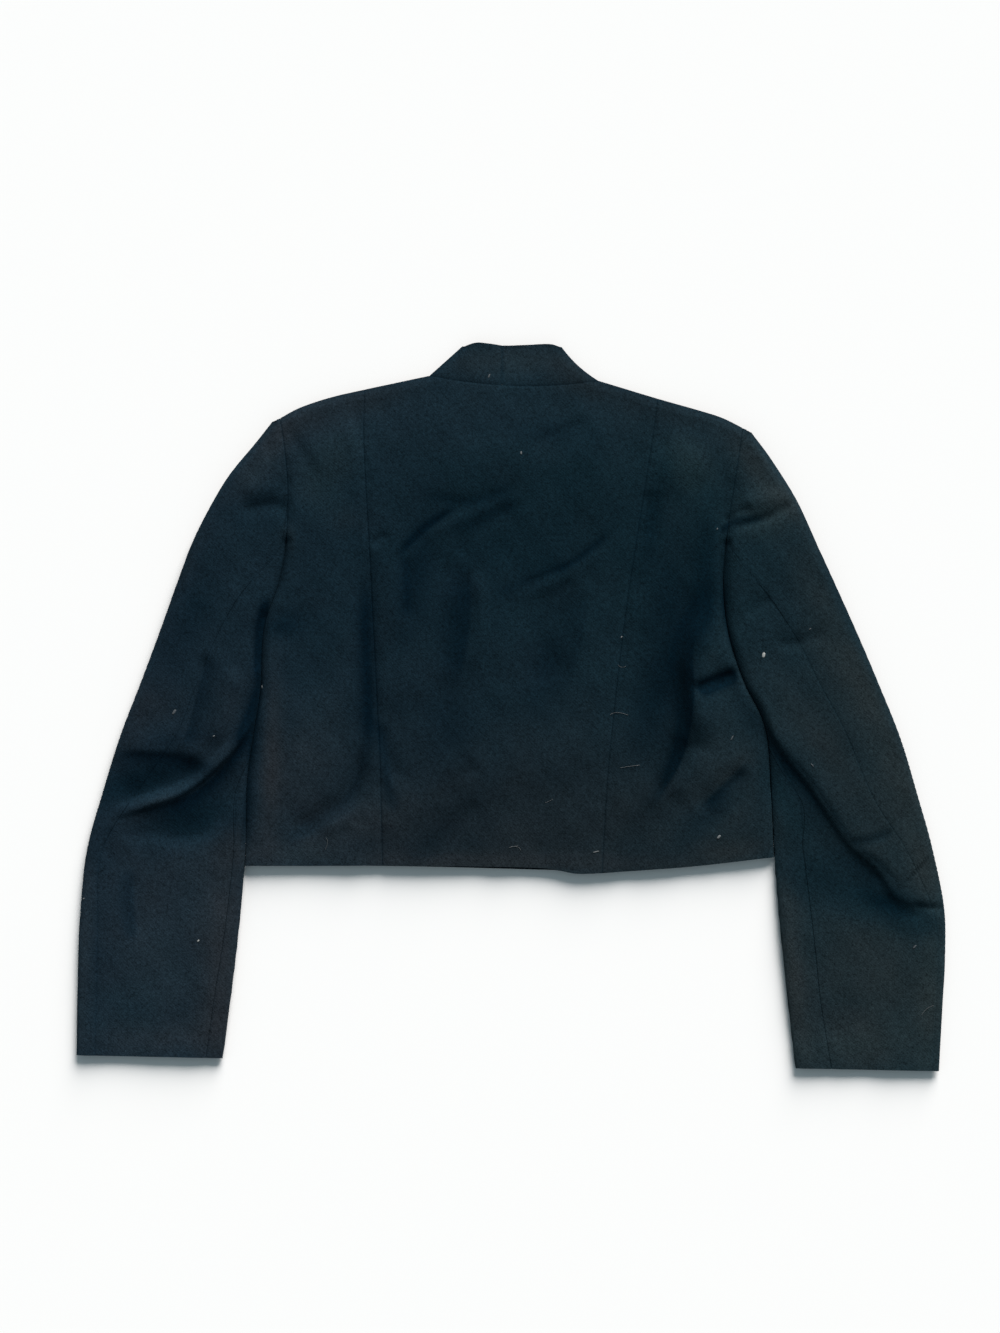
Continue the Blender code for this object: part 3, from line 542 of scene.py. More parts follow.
class StageLook(bpy.types.PropertyGroup):
    """Floor, light and camera"""

    floor: bpy.props.FloatVectorProperty(
        name="Floor", description="Colour of the floor", subtype="COLOR", size=3,
        default=(0.93, 0.93, 0.93), min=0, max=1,
    )
    key_strength: bpy.props.FloatProperty(
        name="Key Light", description="Strength of the light from one side", default=6.7, min=0
    )
    key_tint: bpy.props.FloatVectorProperty(
        name="Key Tint", description="Colour of that light", subtype="COLOR", size=3,
        default=(1.0, 0.955, 0.925), min=0, max=1,
    )
    sky_tint: bpy.props.FloatVectorProperty(
        name="Sky Tint", description="Colour of the even light", subtype="COLOR", size=3,
        default=(0.72, 0.92, 1.0), min=0, max=1,
    )
    key_height: bpy.props.FloatProperty(
        name="Key Height", description="Angle of that light above the floor", default=0.42, subtype="ANGLE"
    )
    key_turn: bpy.props.FloatProperty(
        name="Key Turn", description="Turn of that light, clockwise from the collar", subtype="ANGLE",
        default=0.3,
    )
    key_spread: bpy.props.FloatProperty(
        name="Key Spread", description="How wide the light is, which softens shadows", subtype="ANGLE",
        default=0.7,
    )
    sky: bpy.props.FloatProperty(
        name="Sky", description="Strength of the even light from all round", default=0.25
    )
    picture_scale: bpy.props.FloatProperty(
        name="Picture Scale", description="Length that one picture point covers", unit="LENGTH",
        default=0.00092,
    )
    camera_height: bpy.props.FloatProperty(
        name="Camera Height", description="Above the floor", default=3.0, unit="LENGTH"
    )


def spline(points, at):
    """Points of a smooth line through the rows of points, at places counted in rows."""
    points = np.asarray(points, float)
    last = len(points) - 1
    at = np.clip(np.asarray(at, float), 0, last)
    row = np.minimum(at.astype(int), last - 1)
    slopes = np.gradient(points, axis=0)
    t = (at - row)[..., None]
    start, end = points[row], points[row + 1]
    swing = start * (1 + 2 * t) * (1 - t) ** 2 + end * t * t * (3 - 2 * t)
    return swing + slopes[row] * t * (1 - t) ** 2 - slopes[row + 1] * t * t * (1 - t)


def along(points, share):
    """Points at these shares, from 0 to 1, of the smooth line through points."""
    return spline(points, np.asarray(share, float) * (len(points) - 1))


def smooth_step(value):
    value = np.clip(value, 0, 1)
    return value * value * (3 - 2 * value)


def hump(value):
    """1 at 0, falling to nothing on both sides."""
    return np.exp(-(value ** 2))


def bulge(share):
    """0 at both ends of a length and 1 at its middle."""
    return 4 * share * (1 - share)


def bend_line(row):
    """A bent line from the first six columns of a table's row."""
    t = np.linspace(0, 1, HAIR_STEPS)[:, None]
    start, bend, end = np.array(row[:6], float).reshape(3, 2)
    return start * (1 - t) ** 2 + bend * 2 * t * (1 - t) + end * t * t


def distance_to(line, points):
    """Distance from each point to a line of many points, its side, and the place along it."""
    a, b = line[:-1], line[1:]
    ab = b - a
    ap = points[:, None, :] - a[None]
    t = np.clip((ap * ab).sum(2) / np.maximum((ab * ab).sum(1), 1e-9), 0, 1)
    offset = ap - t[..., None] * ab
    far = np.linalg.norm(offset, axis=2)
    nearest = far.argmin(axis=1)
    each = np.arange(len(points))
    side = ab[nearest, 0] * offset[each, nearest, 1] - ab[nearest, 1] * offset[each, nearest, 0]
    place = (nearest + t[each, nearest]) / len(a)
    return far[each, nearest], side, place


def near_line(line, points, reach):
    """Which points lie within reach of the line's box."""
    low, high = line.min(axis=0) - reach, line.max(axis=0) + reach
    return np.all((points > low) & (points < high), axis=1)


def stroke(row, points):
    """Which points lie near a fold's or shade's route, and its strength there, from 0 to 1."""
    line = along(row.route, np.linspace(0, 1, ROUTE_STEPS))
    close = near_line(line, points, ROUTE_REACH * max(row.left_width, row.right_width))
    if not close.any():
        return close, np.zeros(0)
    far, side, place = distance_to(line, points[close])
    width = np.where(side > 0, row.left_width, row.right_width)
    fade = smooth_step(place / ROUTE_FADE) * smooth_step((1 - place) / ROUTE_FADE)
    return close, fade * hump(far / width)


def inner_edge(rings, ring):
    return spline([(r.inner_x, r.inner_y) for r in rings], ring)


def outer_edge(rings, ring):
    return spline([(r.outer_x, r.outer_y) for r in rings], ring)


def loft(y):
    """Height of the upper layer, before its folds, at these places from cuffs to collar."""
    rows = np.array(LOFTS)
    shifts = np.linspace(-LOFT_ROUNDING, LOFT_ROUNDING, LOFT_SAMPLES)
    return np.mean([np.interp(y + shift, rows[:, 0], rows[:, 1]) for shift in shifts], axis=0)


def folded_edges():
    """The lines in plan where the cloth turns from its upper to its lower layer."""
    steps = np.linspace(0, 1, EDGE_STEPS)
    lines = [along(LEFT_SHOULDER, steps), along(RIGHT_SHOULDER, steps)]
    for neck_end, top, sag in (
        (BACK_NECK[0], LEFT_COLLAR_TOP, LEFT_COLLAR_SAG),
        (BACK_NECK[-1], RIGHT_COLLAR_TOP, RIGHT_COLLAR_SAG),
    ):
        up = steps[:, None]
        lines.append(np.array(neck_end) * (1 - up) + np.array(top[-1]) * up + bulge(up) * np.array(sag))
    for rings in (LEFT_RINGS, RIGHT_RINGS):
        last = len(rings) - 1
        lines.append(outer_edge(rings, steps * last))
        lines.append(inner_edge(rings, UNDERARM_RING + steps * (last - UNDERARM_RING)))
    return lines


SewnLine = namedtuple("SewnLine", "points depth")


def seam_lines():
    """The seams that show on the upper layer, and how deep each is as a share of the body's."""
    steps = np.linspace(0, 1, SEAM_STEPS)
    lines = [SewnLine(along(points, steps), 1.0) for points in (LEFT_BACK_SEAM, RIGHT_BACK_SEAM)]
    lines.append(SewnLine(along(BACK_NECK, steps), NECK_SEAM_DEPTH))
    centre_back = np.array([along(BACK_NECK, CENTRE_BACK_SHARE), LEFT_COLLAR_TOP[0]])
    lines.append(SewnLine(centre_back, COLLAR_SEAM_DEPTH))
    for rings in (LEFT_RINGS, RIGHT_RINGS):
        last = len(rings) - 1
        lines.append(SewnLine(inner_edge(rings, steps * UNDERARM_RING), 1.0))
        ring = UNDERARM_RING + steps * (last - UNDERARM_RING)
        shares = spline([(r.back_seam, r.front_seam) for r in rings], ring)
        inner, outer = inner_edge(rings, ring), outer_edge(rings, ring)
        for share in shares.T:
            shown = share > SEAM_SHOWS_FROM
            line = (inner + (outer - inner) * share[:, None])[shown]
            lines.append(SewnLine(line, SLEEVE_SEAM_DEPTH))
    return lines


class Lie:
    """The lie of the cloth over the plan, in millimetres."""

    def __init__(self, sizes):
        self.wall = sizes.wall / MM
        self.seam_gap = sizes.seam_gap / MM
        self.edge_roll = sizes.edge_roll / MM
        self.edge_middle = sizes.edge_middle / MM
        self.seam_dip = sizes.seam_dip / MM
        self.pucker = sizes.pucker / MM
        self.edge_clearance = EDGE_CLEARANCE_SHARE * self.wall
        self.edges = folded_edges()
        self.seams = seam_lines()

    def roll(self, points):
        """0 on a folded edge, rising round its roll to 1 where the cloth lies flat."""
        far = np.full(len(points), self.edge_roll)
        for line in self.edges:
            close = near_line(line, points, self.edge_roll)
            if close.any():
                far[close] = np.minimum(far[close], distance_to(line, points[close])[0])
        return np.sqrt(1 - (1 - np.clip(far / self.edge_roll, 0, 1)) ** 2)

    def folds(self, points):
        height = np.zeros(len(points))
        for fold in FOLDS:
            close, strength = stroke(fold, points)
            height[close] += fold.height * strength
        return height

    def seam_relief(self, points):
        """The dip at a seam, the raised turnings beside it, and its ripples."""
        dips, raised = np.zeros(len(points)), np.zeros(len(points))
        for line, depth in self.seams:
            close = near_line(line, points, SEAM_REACH)
            if not close.any():
                continue
            length = np.linalg.norm(np.diff(line, axis=0), axis=1).sum()
            far, _, place = distance_to(line, points[close])
            groove = SEAM_SHARP_SHARE * hump(far / SEAM_LINE_WIDTH)
            groove += (1 - SEAM_SHARP_SHARE) * hump(far / SEAM_SOFT_WIDTH)
            dips[close] = np.maximum(dips[close], depth * self.seam_dip * groove)
            run = place * length
            wander = RIPPLE_WANDER * np.sin(run / RIPPLE_WANDER_RUN)
            ripples = np.sin(run / RIPPLE_RUN + wander) * np.sin(run / RIPPLE_SWELL_RUN)
            turnings = TURNING_SHARE * self.seam_dip * hump((far - TURNING_DISTANCE) / TURNING_WIDTH)
            raised[close] += depth * (turnings + self.pucker * ripples * hump(far / RIPPLE_WIDTH))
        return raised - dips

    def closeness_to_seams(self, points):
        """1 on a seam, falling to 0 within its narrow groove."""
        close = np.zeros(len(points))
        for line, depth in self.seams:
            near = near_line(line, points, SEAM_LINE_REACH)
            if near.any():
                far = distance_to(line, points[near])[0]
                close[near] = np.maximum(close[near], depth * hump(far / SEAM_LINE_WIDTH))
        return close

    def waves(self, points):
        turns = 2 * np.pi
        return sum(
            w.height * np.sin(turns * (points[:, 0] * w.across_x + points[:, 1] * w.across_y) + w.start)
            for w in WAVES
        )

    def upper(self, points):
        """Height of the middle of the upper layer's wall over these points of the plan."""
        height = loft(points[:, 1]) + self.folds(points) + self.seam_relief(points) + self.waves(points)
        lying_on_lower = 1.5 * self.wall + self.seam_gap
        height = np.maximum(height, lying_on_lower)
        return self.edge_middle + (height - self.edge_middle) * self.roll(points)

    def lower(self, points):
        """Height of the middle of the wall that rests on the surface."""
        return self.edge_middle - (self.edge_middle - self.wall / 2) * self.roll(points)


def lifted(plan, layer):
    return np.column_stack([plan, layer(plan)])


def inset(shares, length, low, high):
    """Shares of a length, drawn in from its ends by the clearances there."""
    return (low + shares * (length - low - high)) / length


def near_low(shares):
    """Shares crowded towards 0, where the cloth rolls over a folded edge."""
    return shares ** EDGE_CROWDING


def near_high(shares):
    return 1 - near_low(1 - shares)


def near_ends(shares, crowding):
    """Shares crowded towards both 0 and 1."""
    return shares - crowding * np.sin(2 * np.pi * shares) / (2 * np.pi)


def ending_at(points, start, end):
    """The line's shares-to-points function, eased so that it starts and ends exactly there."""

    def place(share):
        share = np.asarray(share, float)
        drift_start = start - along(points, 0.0)
        drift_end = end - along(points, 1.0)
        weight = share[..., None]
        return along(points, share) + drift_start * (1 - weight) + drift_end * weight

    return place


def patch(bottom, top, left, right):
    """Plan points between four edge lines, each a function of its share."""

    def place(u, v):
        a, b = u[:, None], v[:, None]
        across = (1 - b) * bottom(u) + b * top(u)
        upward = (1 - a) * left(v) + a * right(v)
        corners = (1 - b) * ((1 - a) * left(0.0) + a * right(0.0))
        corners = corners + b * ((1 - a) * left(1.0) + a * right(1.0))
        return across + upward - corners

    return place


def edge_clearance(lie, ring):
    """How far the body and a sleeve each keep from the line between them."""
    folded = smooth_step(ring - UNDERARM_RING + 1)
    at_tip = TIP_CLEARANCE_SHARE * smooth_step(1 - ring / TIP_RINGS)
    close = lie.seam_gap / 2
    return close + (lie.edge_clearance - close) * np.maximum(folded, at_tip)


def body_side(lie, rings, hem_ring, inwards):
    """The body's edge beside a sleeve, from the hem to the shoulder tip."""

    def place(share):
        ring = hem_ring * (1 - np.asarray(share, float))
        clear = edge_clearance(lie, ring)
        return inner_edge(rings, ring) + np.stack([inwards * clear, 0 * clear], axis=-1)

    return place


def seam(points):
    return lambda share: along(points, share)


def part_of(points, low, high):
    """A stretch of the line, between two shares of it, as a line of its own."""
    return along(points, np.linspace(low, high, PART_STEPS))


def chain(*stretches):
    """Lines joined end to end. Each is (points, share of the whole where it ends)."""

    def place(share):
        share = np.asarray(share, float)
        result = np.zeros(share.shape + (2,))
        begin = 0.0
        for points, finish in stretches:
            inside = (share >= begin) & (share <= finish)
            local = np.clip((share - begin) / (finish - begin), 0, 1)
            result = np.where(inside[..., None], along(points, local), result)
            begin = finish
        return result

    return place


def backwards(points):
    return list(reversed(points))


def painted(plan, lie):
    """Painted shade and painted highlight at these points of the plan, and how green or red the cloth is
    tinted there. The seams' grooves, the folded edges at the shoulders and the foot of folds get painted
    shade.
    """
    # painted shade along the seams' grooves
    tone, cast = -SEAM_PAINTED_SHADE * lie.closeness_to_seams(plan), np.zeros(len(plan))
    # painted shade where the cloth turns over the folded edges at the shoulders
    at_shoulder = smooth_step((plan[:, 1] - SHOULDER_LOW) / (SHOULDER_HIGH - SHOULDER_LOW))
    tone -= EDGE_PAINTED_SHADE * at_shoulder * (1 - lie.roll(plan))
    # painted shade along the routes of the shades
    for shade in SHADES:
        close, strength = stroke(shade, plan)
        tone[close] += shade.tone * strength
    # painted shade and painted highlight in ovals, and a tint that is partly the cloth's own and partly the
    # bluer tint of painted shade
    for patch_row in PATCHES:
        angle = np.radians(patch_row.degrees)
        away = plan - (patch_row.x, patch_row.y)
        lengthwise = (away[:, 0] * np.cos(angle) + away[:, 1] * np.sin(angle)) / patch_row.long
        crosswise = (away[:, 1] * np.cos(angle) - away[:, 0] * np.sin(angle)) / patch_row.wide
        weight = hump(lengthwise) * hump(crosswise)
        tone += patch_row.tone * weight
        cast += patch_row.cast * weight
    return {"nap_tone": tone, "nap_cast": cast}


def cloth(name, columns, rows, place, lie):
    """A wall of cloth from a grid. place(u, v) gives each point in millimetres for shares 0 to 1."""
    bpy.ops.object.select_all(action="DESELECT")
    bpy.ops.mesh.primitive_grid_add(x_subdivisions=columns, y_subdivisions=rows, size=2)
    panel = bpy.context.active_object
    panel.name = panel.data.name = name
    grid = np.empty(len(panel.data.vertices) * 3)
    panel.data.vertices.foreach_get("co", grid)
    grid = grid.reshape(-1, 3)
    points = place((grid[:, 0] + 1) / 2, (grid[:, 1] + 1) / 2)
    for look, values in painted(points[:, :2], lie).items():
        panel.data.attributes.new(look, "FLOAT", "POINT").data.foreach_set("value", values)
    points[:, :2] -= (CENTRE_X, CENTRE_Y)
    panel.data.vertices.foreach_set("co", (points * MM).ravel())
    panel.data.update()
    wall = panel.modifiers.new("wall", "SOLIDIFY")
    wall.thickness = lie.wall * MM
    wall.offset = 0
    bpy.ops.object.modifier_apply(modifier=wall.name)
    bpy.ops.object.shade_smooth_by_angle(angle=SMOOTH_ANGLE)
    return panel


# Each panel's cut: the rectangle it comes out of, its own area, and what it lies on
Cut = namedtuple("Cut", "node width length area rests_on")
CUTS = [
    Cut("front_left", 0.285, 0.455, 0.1031, []),
    Cut("front_right", 0.24, 0.455, 0.0836, []),
    Cut("back_side_left", 0.128, 0.445, 0.0432, ["front_left"]),
    Cut("back_side_right", 0.16, 0.44, 0.048, ["front_right"]),
    Cut("back_centre", 0.272, 0.456, 0.1055, ["front_left", "front_right"]),
    Cut("collar_left", 0.155, 0.052, 0.006, ["front_left"]),
    Cut("collar_right", 0.175, 0.052, 0.0071, ["front_right"]),
    Cut("sleeve_top_left", 0.215, 0.6, 0.0915, []),
    Cut("sleeve_under_left", 0.15, 0.49, 0.0456, ["sleeve_top_left"]),
    Cut("sleeve_top_right", 0.22, 0.61, 0.0982, []),
    Cut("sleeve_under_right", 0.15, 0.5, 0.0456, ["sleeve_top_right"]),
]


def sew_in(panel, node, material):
    """Give a panel its cloth, hang it under the root, and hide the solid it stands for."""
    cut = next(c for c in CUTS if c.node == node)
    panel.data.materials.clear()
    panel.data.materials.append(material)
    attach(panel, "root")
    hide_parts(node)


class Signal:
    """A shader socket that can be used in sums."""

    def __init__(self, nodes, socket):
        self.nodes, self.socket = nodes, socket

    def _math(self, operation, first, second):
        return self.nodes.add("ShaderNodeMath", {"operation": operation}, {0: first, 1: second})

    def __add__(self, other):
        return self._math("ADD", self, other)

    def __radd__(self, other):
        return self._math("ADD", other, self)

    def __sub__(self, other):
        return self._math("SUBTRACT", self, other)

    def __rsub__(self, other):
        return self._math("SUBTRACT", other, self)

    def __mul__(self, other):
        return self._math("MULTIPLY", self, other)

    def __rmul__(self, other):
        return self._math("MULTIPLY", other, self)


class Nodes:
    """The node tree of one material."""

    def __init__(self, name):
        self.material = bpy.data.materials.new(name)
        self.material.use_nodes = True
        self.tree = self.material.node_tree
        self.shader = self.tree.nodes["Principled BSDF"]

    def add(self, kind, settings=None, sockets=None, out=0):
        node = self.tree.nodes.new(kind)
        for setting, value in (settings or {}).items():
            if setting == "stops":
                while len(node.color_ramp.elements) < len(value):
                    node.color_ramp.elements.new(1.0)
                for element, (place, shade) in zip(node.color_ramp.elements, value):
                    element.position, element.color = place, shade
            else:
                setattr(node, setting, value)
        for key, value in (sockets or {}).items():
            self.feed(node.inputs[key], value)
        return Signal(self, node.outputs[out])

    def mix(self, first, second, factor, blend="MIX"):
        """The second colour over the first, blended in this way and this much."""
        settings = {"data_type": "RGBA", "blend_type": blend}
        sockets = {"Factor": factor, COLOUR_A: first, COLOUR_B: second}
        return self.add("ShaderNodeMix", settings, sockets, out=COLOUR_RESULT)

    def multiply(self, first, second):
        """The product of two colours, or of a colour and a number."""
        return self.mix(first, second, 1.0, "MULTIPLY")

    def ramp(self, factor, *colours):
        """The colour that goes evenly through these as the factor goes from 0 to 1."""
        stops = list(zip(np.linspace(0, 1, len(colours)), map(colour, colours)))
        return self.add("ShaderNodeValToRGB", {"stops": stops}, {"Fac": factor})

    def noise(self, place, scale, detail, roughness=0.5):
        sockets = {"Vector": place, "Scale": scale, "Detail": detail, "Roughness": roughness}
        return self.add("ShaderNodeTexNoise", {}, sockets)

    def feed(self, socket, value):
        if isinstance(value, Signal):
            self.tree.links.new(value.socket, socket)
        else:
            socket.default_value = value

    def finish(self, **sockets):
        for key, value in sockets.items():
            self.feed(self.shader.inputs[key.replace("_", " ")], value)
        return self.material


def colour(value):
    return (*value, 1.0)


def wool_cloth(look):
    """Brushed wool: painted shade and painted highlight from each panel's painted shading, dark tones that
    drift over the cloth, a grainy nap and a faint twill.
    """
    known = bpy.data.materials.get("wool_with_painted_shade")
    if known:
        return known
    nodes = Nodes("wool_with_painted_shade")
    place = nodes.add("ShaderNodeTexCoord", out="Object")
    tone = nodes.add("ShaderNodeAttribute", {"attribute_name": "nap_tone"}, out="Fac")
    redness = nodes.add("ShaderNodeAttribute", {"attribute_name": "nap_cast"}, out="Fac")
    drift = nodes.noise(place, DRIFT_SCALE, detail=3.0, roughness=0.55)
    blotch = nodes.noise(place, BLOTCH_SCALE, detail=2.0)
    nap = nodes.noise(place, NAP_SCALE, detail=3.0, roughness=0.7)
    tuft = nodes.noise(place, TUFT_SCALE, detail=2.0)
    # each sum is shifted so that noises at their middle give the middle of its ramp
    tone_place = tone * TONE_WEIGHT + drift * DRIFT_WEIGHT + (1 - DRIFT_WEIGHT) / 2
    # painted shade and painted highlight: the painted shading, with the drift, picks a colour from the
    # hollow's painted shade through the open cloth to the painted highlight
    reach = nodes.ramp(tone_place, look.hollow, look.open_cloth, look.painted_highlight)
    # tint, greener or redder: partly the cloth's own and partly the bluer tint of painted shade
    cast_place = redness * CAST_WEIGHT + drift * DRIFT_WEIGHT + blotch * BLOTCH_WEIGHT
    cast_place = cast_place + (1 - DRIFT_WEIGHT - BLOTCH_WEIGHT) / 2
    cast = nodes.ramp(cast_place, look.teal, look.navy, look.plum)
    across = nodes.add("ShaderNodeSeparateXYZ", {}, {0: place}, out="X")
    sideways = nodes.ramp(across * (1 / JACKET_SPAN) + 0.5, look.heather, look.moss)
    tinted = nodes.multiply(nodes.multiply(reach, cast), sideways)
    grain = nap * NAP_CONTRAST + tuft * TUFT_CONTRAST - ((NAP_CONTRAST + TUFT_CONTRAST) / 2 - 1)
    grain = nodes.add("ShaderNodeMath", {"operation": "MAXIMUM"}, {0: grain, 1: DARKEST_GRAIN})
    shade = nodes.multiply(tinted, grain)
    twill = nodes.add(
        "ShaderNodeTexWave",
        {"wave_type": "BANDS", "bands_direction": "DIAGONAL"},
        {"Vector": place, "Scale": TWILL_SCALE, "Distortion": 3.0, "Detail": 1.0, "Detail Scale": 2.0},
        out="Fac",
    )
    relief = nap * NAP_RELIEF + tuft * TUFT_RELIEF + twill * TWILL_RELIEF
    sockets = {"Strength": BUMP_STRENGTH, "Distance": NAP_DEPTH, "Height": relief}
    bump = nodes.add("ShaderNodeBump", {}, sockets)
    nodes.shader.inputs["Metallic"].default_value = 0.0
    nodes.shader.inputs["Specular IOR Level"].default_value = 0.02
    nodes.shader.inputs["Sheen Weight"].default_value = look.sheen
    nodes.shader.inputs["Sheen Roughness"].default_value = 0.6
    nodes.shader.inputs["Sheen Tint"].default_value = colour(look.bloom)
    roughness = nap * ROUGHNESS_SPREAD + (look.roughness - ROUGHNESS_SPREAD / 2)
    return nodes.finish(Base_Color=shade, Roughness=roughness, Normal=bump)


class JACKET_OT_fronts(bpy.types.Operator):
    """Lay the two fronts on the surface"""

    bl_idname = "jacket.lay_fronts"
    bl_label = "Lay Fronts"

    def execute(self, context):
        lie = Lie(context.scene.jacket_cloth)
        wool = wool_cloth(context.scene.jacket_wool)
        shoulder_columns, neck_columns, rows = 36, 30, 90
        columns = shoulder_columns + neck_columns
        turn = shoulder_columns / columns
        front_edge = seam(FRONT_EDGE)
        left = body_side(lie, LEFT_RINGS, LEFT_HEM_RING, 1)
        right = body_side(lie, RIGHT_RINGS, RIGHT_HEM_RING, -1)
        left_shoulder = ending_at(LEFT_SHOULDER, left(1.0), np.array(LEFT_SHOULDER[-1]))
        right_shoulder = ending_at(RIGHT_SHOULDER, right(1.0), np.array(RIGHT_SHOULDER[-1]))
        steps = np.linspace(0, 1, SHOULDER_STEPS)
        left_top = chain((left_shoulder(steps), turn), (LEFT_FRONT_NECK, 1.0))
        right_top = chain((backwards(RIGHT_FRONT_NECK), 1 - turn), (right_shoulder(steps)[::-1], 1.0))
        left_hem = ending_at(LEFT_FRONT_HEM, left(0.0), front_edge(0.0))
        right_hem = ending_at(RIGHT_FRONT_HEM, front_edge(0.0), right(0.0))
        left_patch = patch(left_hem, left_top, left, front_edge)
        right_patch = patch(right_hem, right_top, front_edge, right)
        width, length, half = 250.0, 400.0, lie.seam_gap / 2

        def crowded(u):
            shoulder = turn * near_low(np.clip(u / turn, 0, 1))
            neck = turn + (1 - turn) * near_low(np.clip((u - turn) / (1 - turn), 0, 1))
            return np.where(u <= turn, shoulder, neck)

        def left_place(u, v):
            across = inset(crowded(u), width, 0, half)
            return lifted(left_patch(across, inset(near_high(v), length, 0, half)), lie.lower)

        def right_place(u, v):
            across = inset(1 - crowded(1 - u), width, half, 0)
            return lifted(right_patch(across, inset(near_high(v), length, 0, half)), lie.lower)

        for side, place in (("left", left_place), ("right", right_place)):
            panel = cloth(f"wool_front_{side}", columns, rows, place, lie)
            sew_in(panel, f"front_{side}", wool)
        return {"FINISHED"}


class JACKET_OT_back(bpy.types.Operator):
    """Lay the back's three panels over the fronts"""

    bl_idname = "jacket.lay_back"
    bl_label = "Lay Back"

    def execute(self, context):
        lie = Lie(context.scene.jacket_cloth)
        wool = wool_cloth(context.scene.jacket_wool)
        rows, side_columns, shoulder_columns, neck_columns = 240, 72, 28, 84
        length, side_width, centre_width, half = 440.0, 100.0, 225.0, lie.seam_gap / 2
        at_left, at_right = SHOULDER_SEAM_SHARE, 1 - SHOULDER_SEAM_SHARE
        right_shoulder = backwards(RIGHT_SHOULDER)
        left = body_side(lie, LEFT_RINGS, LEFT_HEM_RING, 1)
        right = body_side(lie, RIGHT_RINGS, RIGHT_HEM_RING, -1)
        left_seam, right_seam = seam(LEFT_BACK_SEAM), seam(RIGHT_BACK_SEAM)
        left_top = ending_at(part_of(LEFT_SHOULDER, 0, at_left), left(1.0), left_seam(1.0))
        right_top = ending_at(part_of(right_shoulder, at_right, 1), right_seam(1.0), right(1.0))
        left_hem = ending_at(LEFT_BACK_HEM, left(0.0), left_seam(0.0))
        right_hem = ending_at(RIGHT_BACK_HEM, right_seam(0.0), right(0.0))
        columns = neck_columns + 2 * shoulder_columns
        neck_start = shoulder_columns / columns
        centre_top = chain(
            (part_of(LEFT_SHOULDER, at_left, 1), neck_start),
            (BACK_NECK, 1 - neck_start),
            (part_of(right_shoulder, 0, at_right), 1.0),
        )
        centre_hem = ending_at(CENTRE_BACK_HEM, left_seam(0.0), right_seam(0.0))
        left_patch = patch(left_hem, left_top, left, left_seam)
        right_patch = patch(right_hem, right_top, right_seam, right)
        centre_patch = patch(centre_hem, centre_top, left_seam, right_seam)

        def upward(v):
            crowded = (1 - SHOULDER_CROWDING) * v + SHOULDER_CROWDING * near_high(v)
            return inset(crowded, length, 0, half)

        def left_place(u, v):
            across = inset(near_ends(u, SIDE_CROWDING), side_width, 0, half)
            return lifted(left_patch(across, upward(v)), lie.upper)

        def right_place(u, v):
            across = inset(near_ends(u, SIDE_CROWDING), side_width, half, 0)
            return lifted(right_patch(across, upward(v)), lie.upper)

        def centre_place(u, v):
            low = neck_start * near_low(np.clip(u / neck_start, 0, 1))
            high = neck_start * near_low(np.clip((1 - u) / neck_start, 0, 1))
            crowded = np.where(u < neck_start, low, np.where(u > 1 - neck_start, 1 - high, u))
            across = inset(crowded, centre_width, half, half)
            return lifted(centre_patch(across, upward(v)), lie.upper)

        for node, count, place in (
            ("back_side_left", side_columns, left_place),
            ("back_side_right", side_columns, right_place),
            ("back_centre", columns, centre_place),
        ):
            sew_in(cloth(f"wool_{node}", count, rows, place, lie), node, wool)
        return {"FINISHED"}


class JACKET_OT_collar(bpy.types.Operator):
    """Set the two halves of the stand collar on the neck"""

    bl_idname = "jacket.set_collar"
    bl_label = "Set Collar"

    def execute(self, context):
        lie = Lie(context.scene.jacket_cloth)
        wool = wool_cloth(context.scene.jacket_wool)
        left_neck = part_of(BACK_NECK, CENTRE_BACK_SHARE, 0)
        right_neck = part_of(BACK_NECK, CENTRE_BACK_SHARE, 1)
        halves = (
            ("left", left_neck, LEFT_COLLAR_TOP, LEFT_FRONT_NECK, LEFT_COLLAR_FRONT_TOP, LEFT_COLLAR_SAG),
            (
                "right", right_neck, RIGHT_COLLAR_TOP, RIGHT_FRONT_NECK, RIGHT_COLLAR_FRONT_TOP,
                RIGHT_COLLAR_SAG,
            ),
        )
        rows, back_columns, front_columns = 18, 44, 30
        columns = back_columns + front_columns
        turn = back_columns / columns
        height, half_length, half = 38.0, 60.0, lie.seam_gap / 2

        def place_in(back_neck, back_top, front_neck, front_top, sag):
            def place(u, v):
                on_back = u <= turn
                back_share = inset(near_high(np.clip(u / turn, 0, 1)), half_length, half, 0)
                front_share = inset(near_low(np.clip((u - turn) / (1 - turn), 0, 1)), half_length, 0, half)
                to_fold = np.where(on_back, back_share, 1 - front_share) ** COLLAR_FOLD_SHARPNESS
                clear = half + COLLAR_CLEARANCE_SHARE * lie.edge_clearance * to_fold
                up = inset(v, height, clear, 0)[:, None]
                back = along(back_neck, back_share) * (1 - up) + along(back_top, back_share) * up
                front = along(front_neck, front_share) * (1 - up) + along(front_top, front_share) * up
                plan = np.where(on_back[:, None], back, front) + to_fold[:, None] * bulge(up) * np.array(sag)
                return np.column_stack([plan, np.where(on_back, lie.upper(plan), lie.lower(plan))])

            return place

        for side, *lines in halves:
            panel = cloth(f"wool_collar_{side}", columns, rows, place_in(*lines), lie)
            sew_in(panel, f"collar_{side}", wool)
        return {"FINISHED"}


def across_share(turn):
    """Share of a ring's width, from its inner edge, at a turn of 0 to 1 across a layer."""
    return near_ends(turn, RING_CROWDING)


def turn_at(share):
    """The signed turn round a ring where a seam lies at a signed share of its width."""
    turns = np.linspace(0, 1, TURN_STEPS)
    return np.sign(share) * np.interp(np.abs(share), across_share(turns), turns)


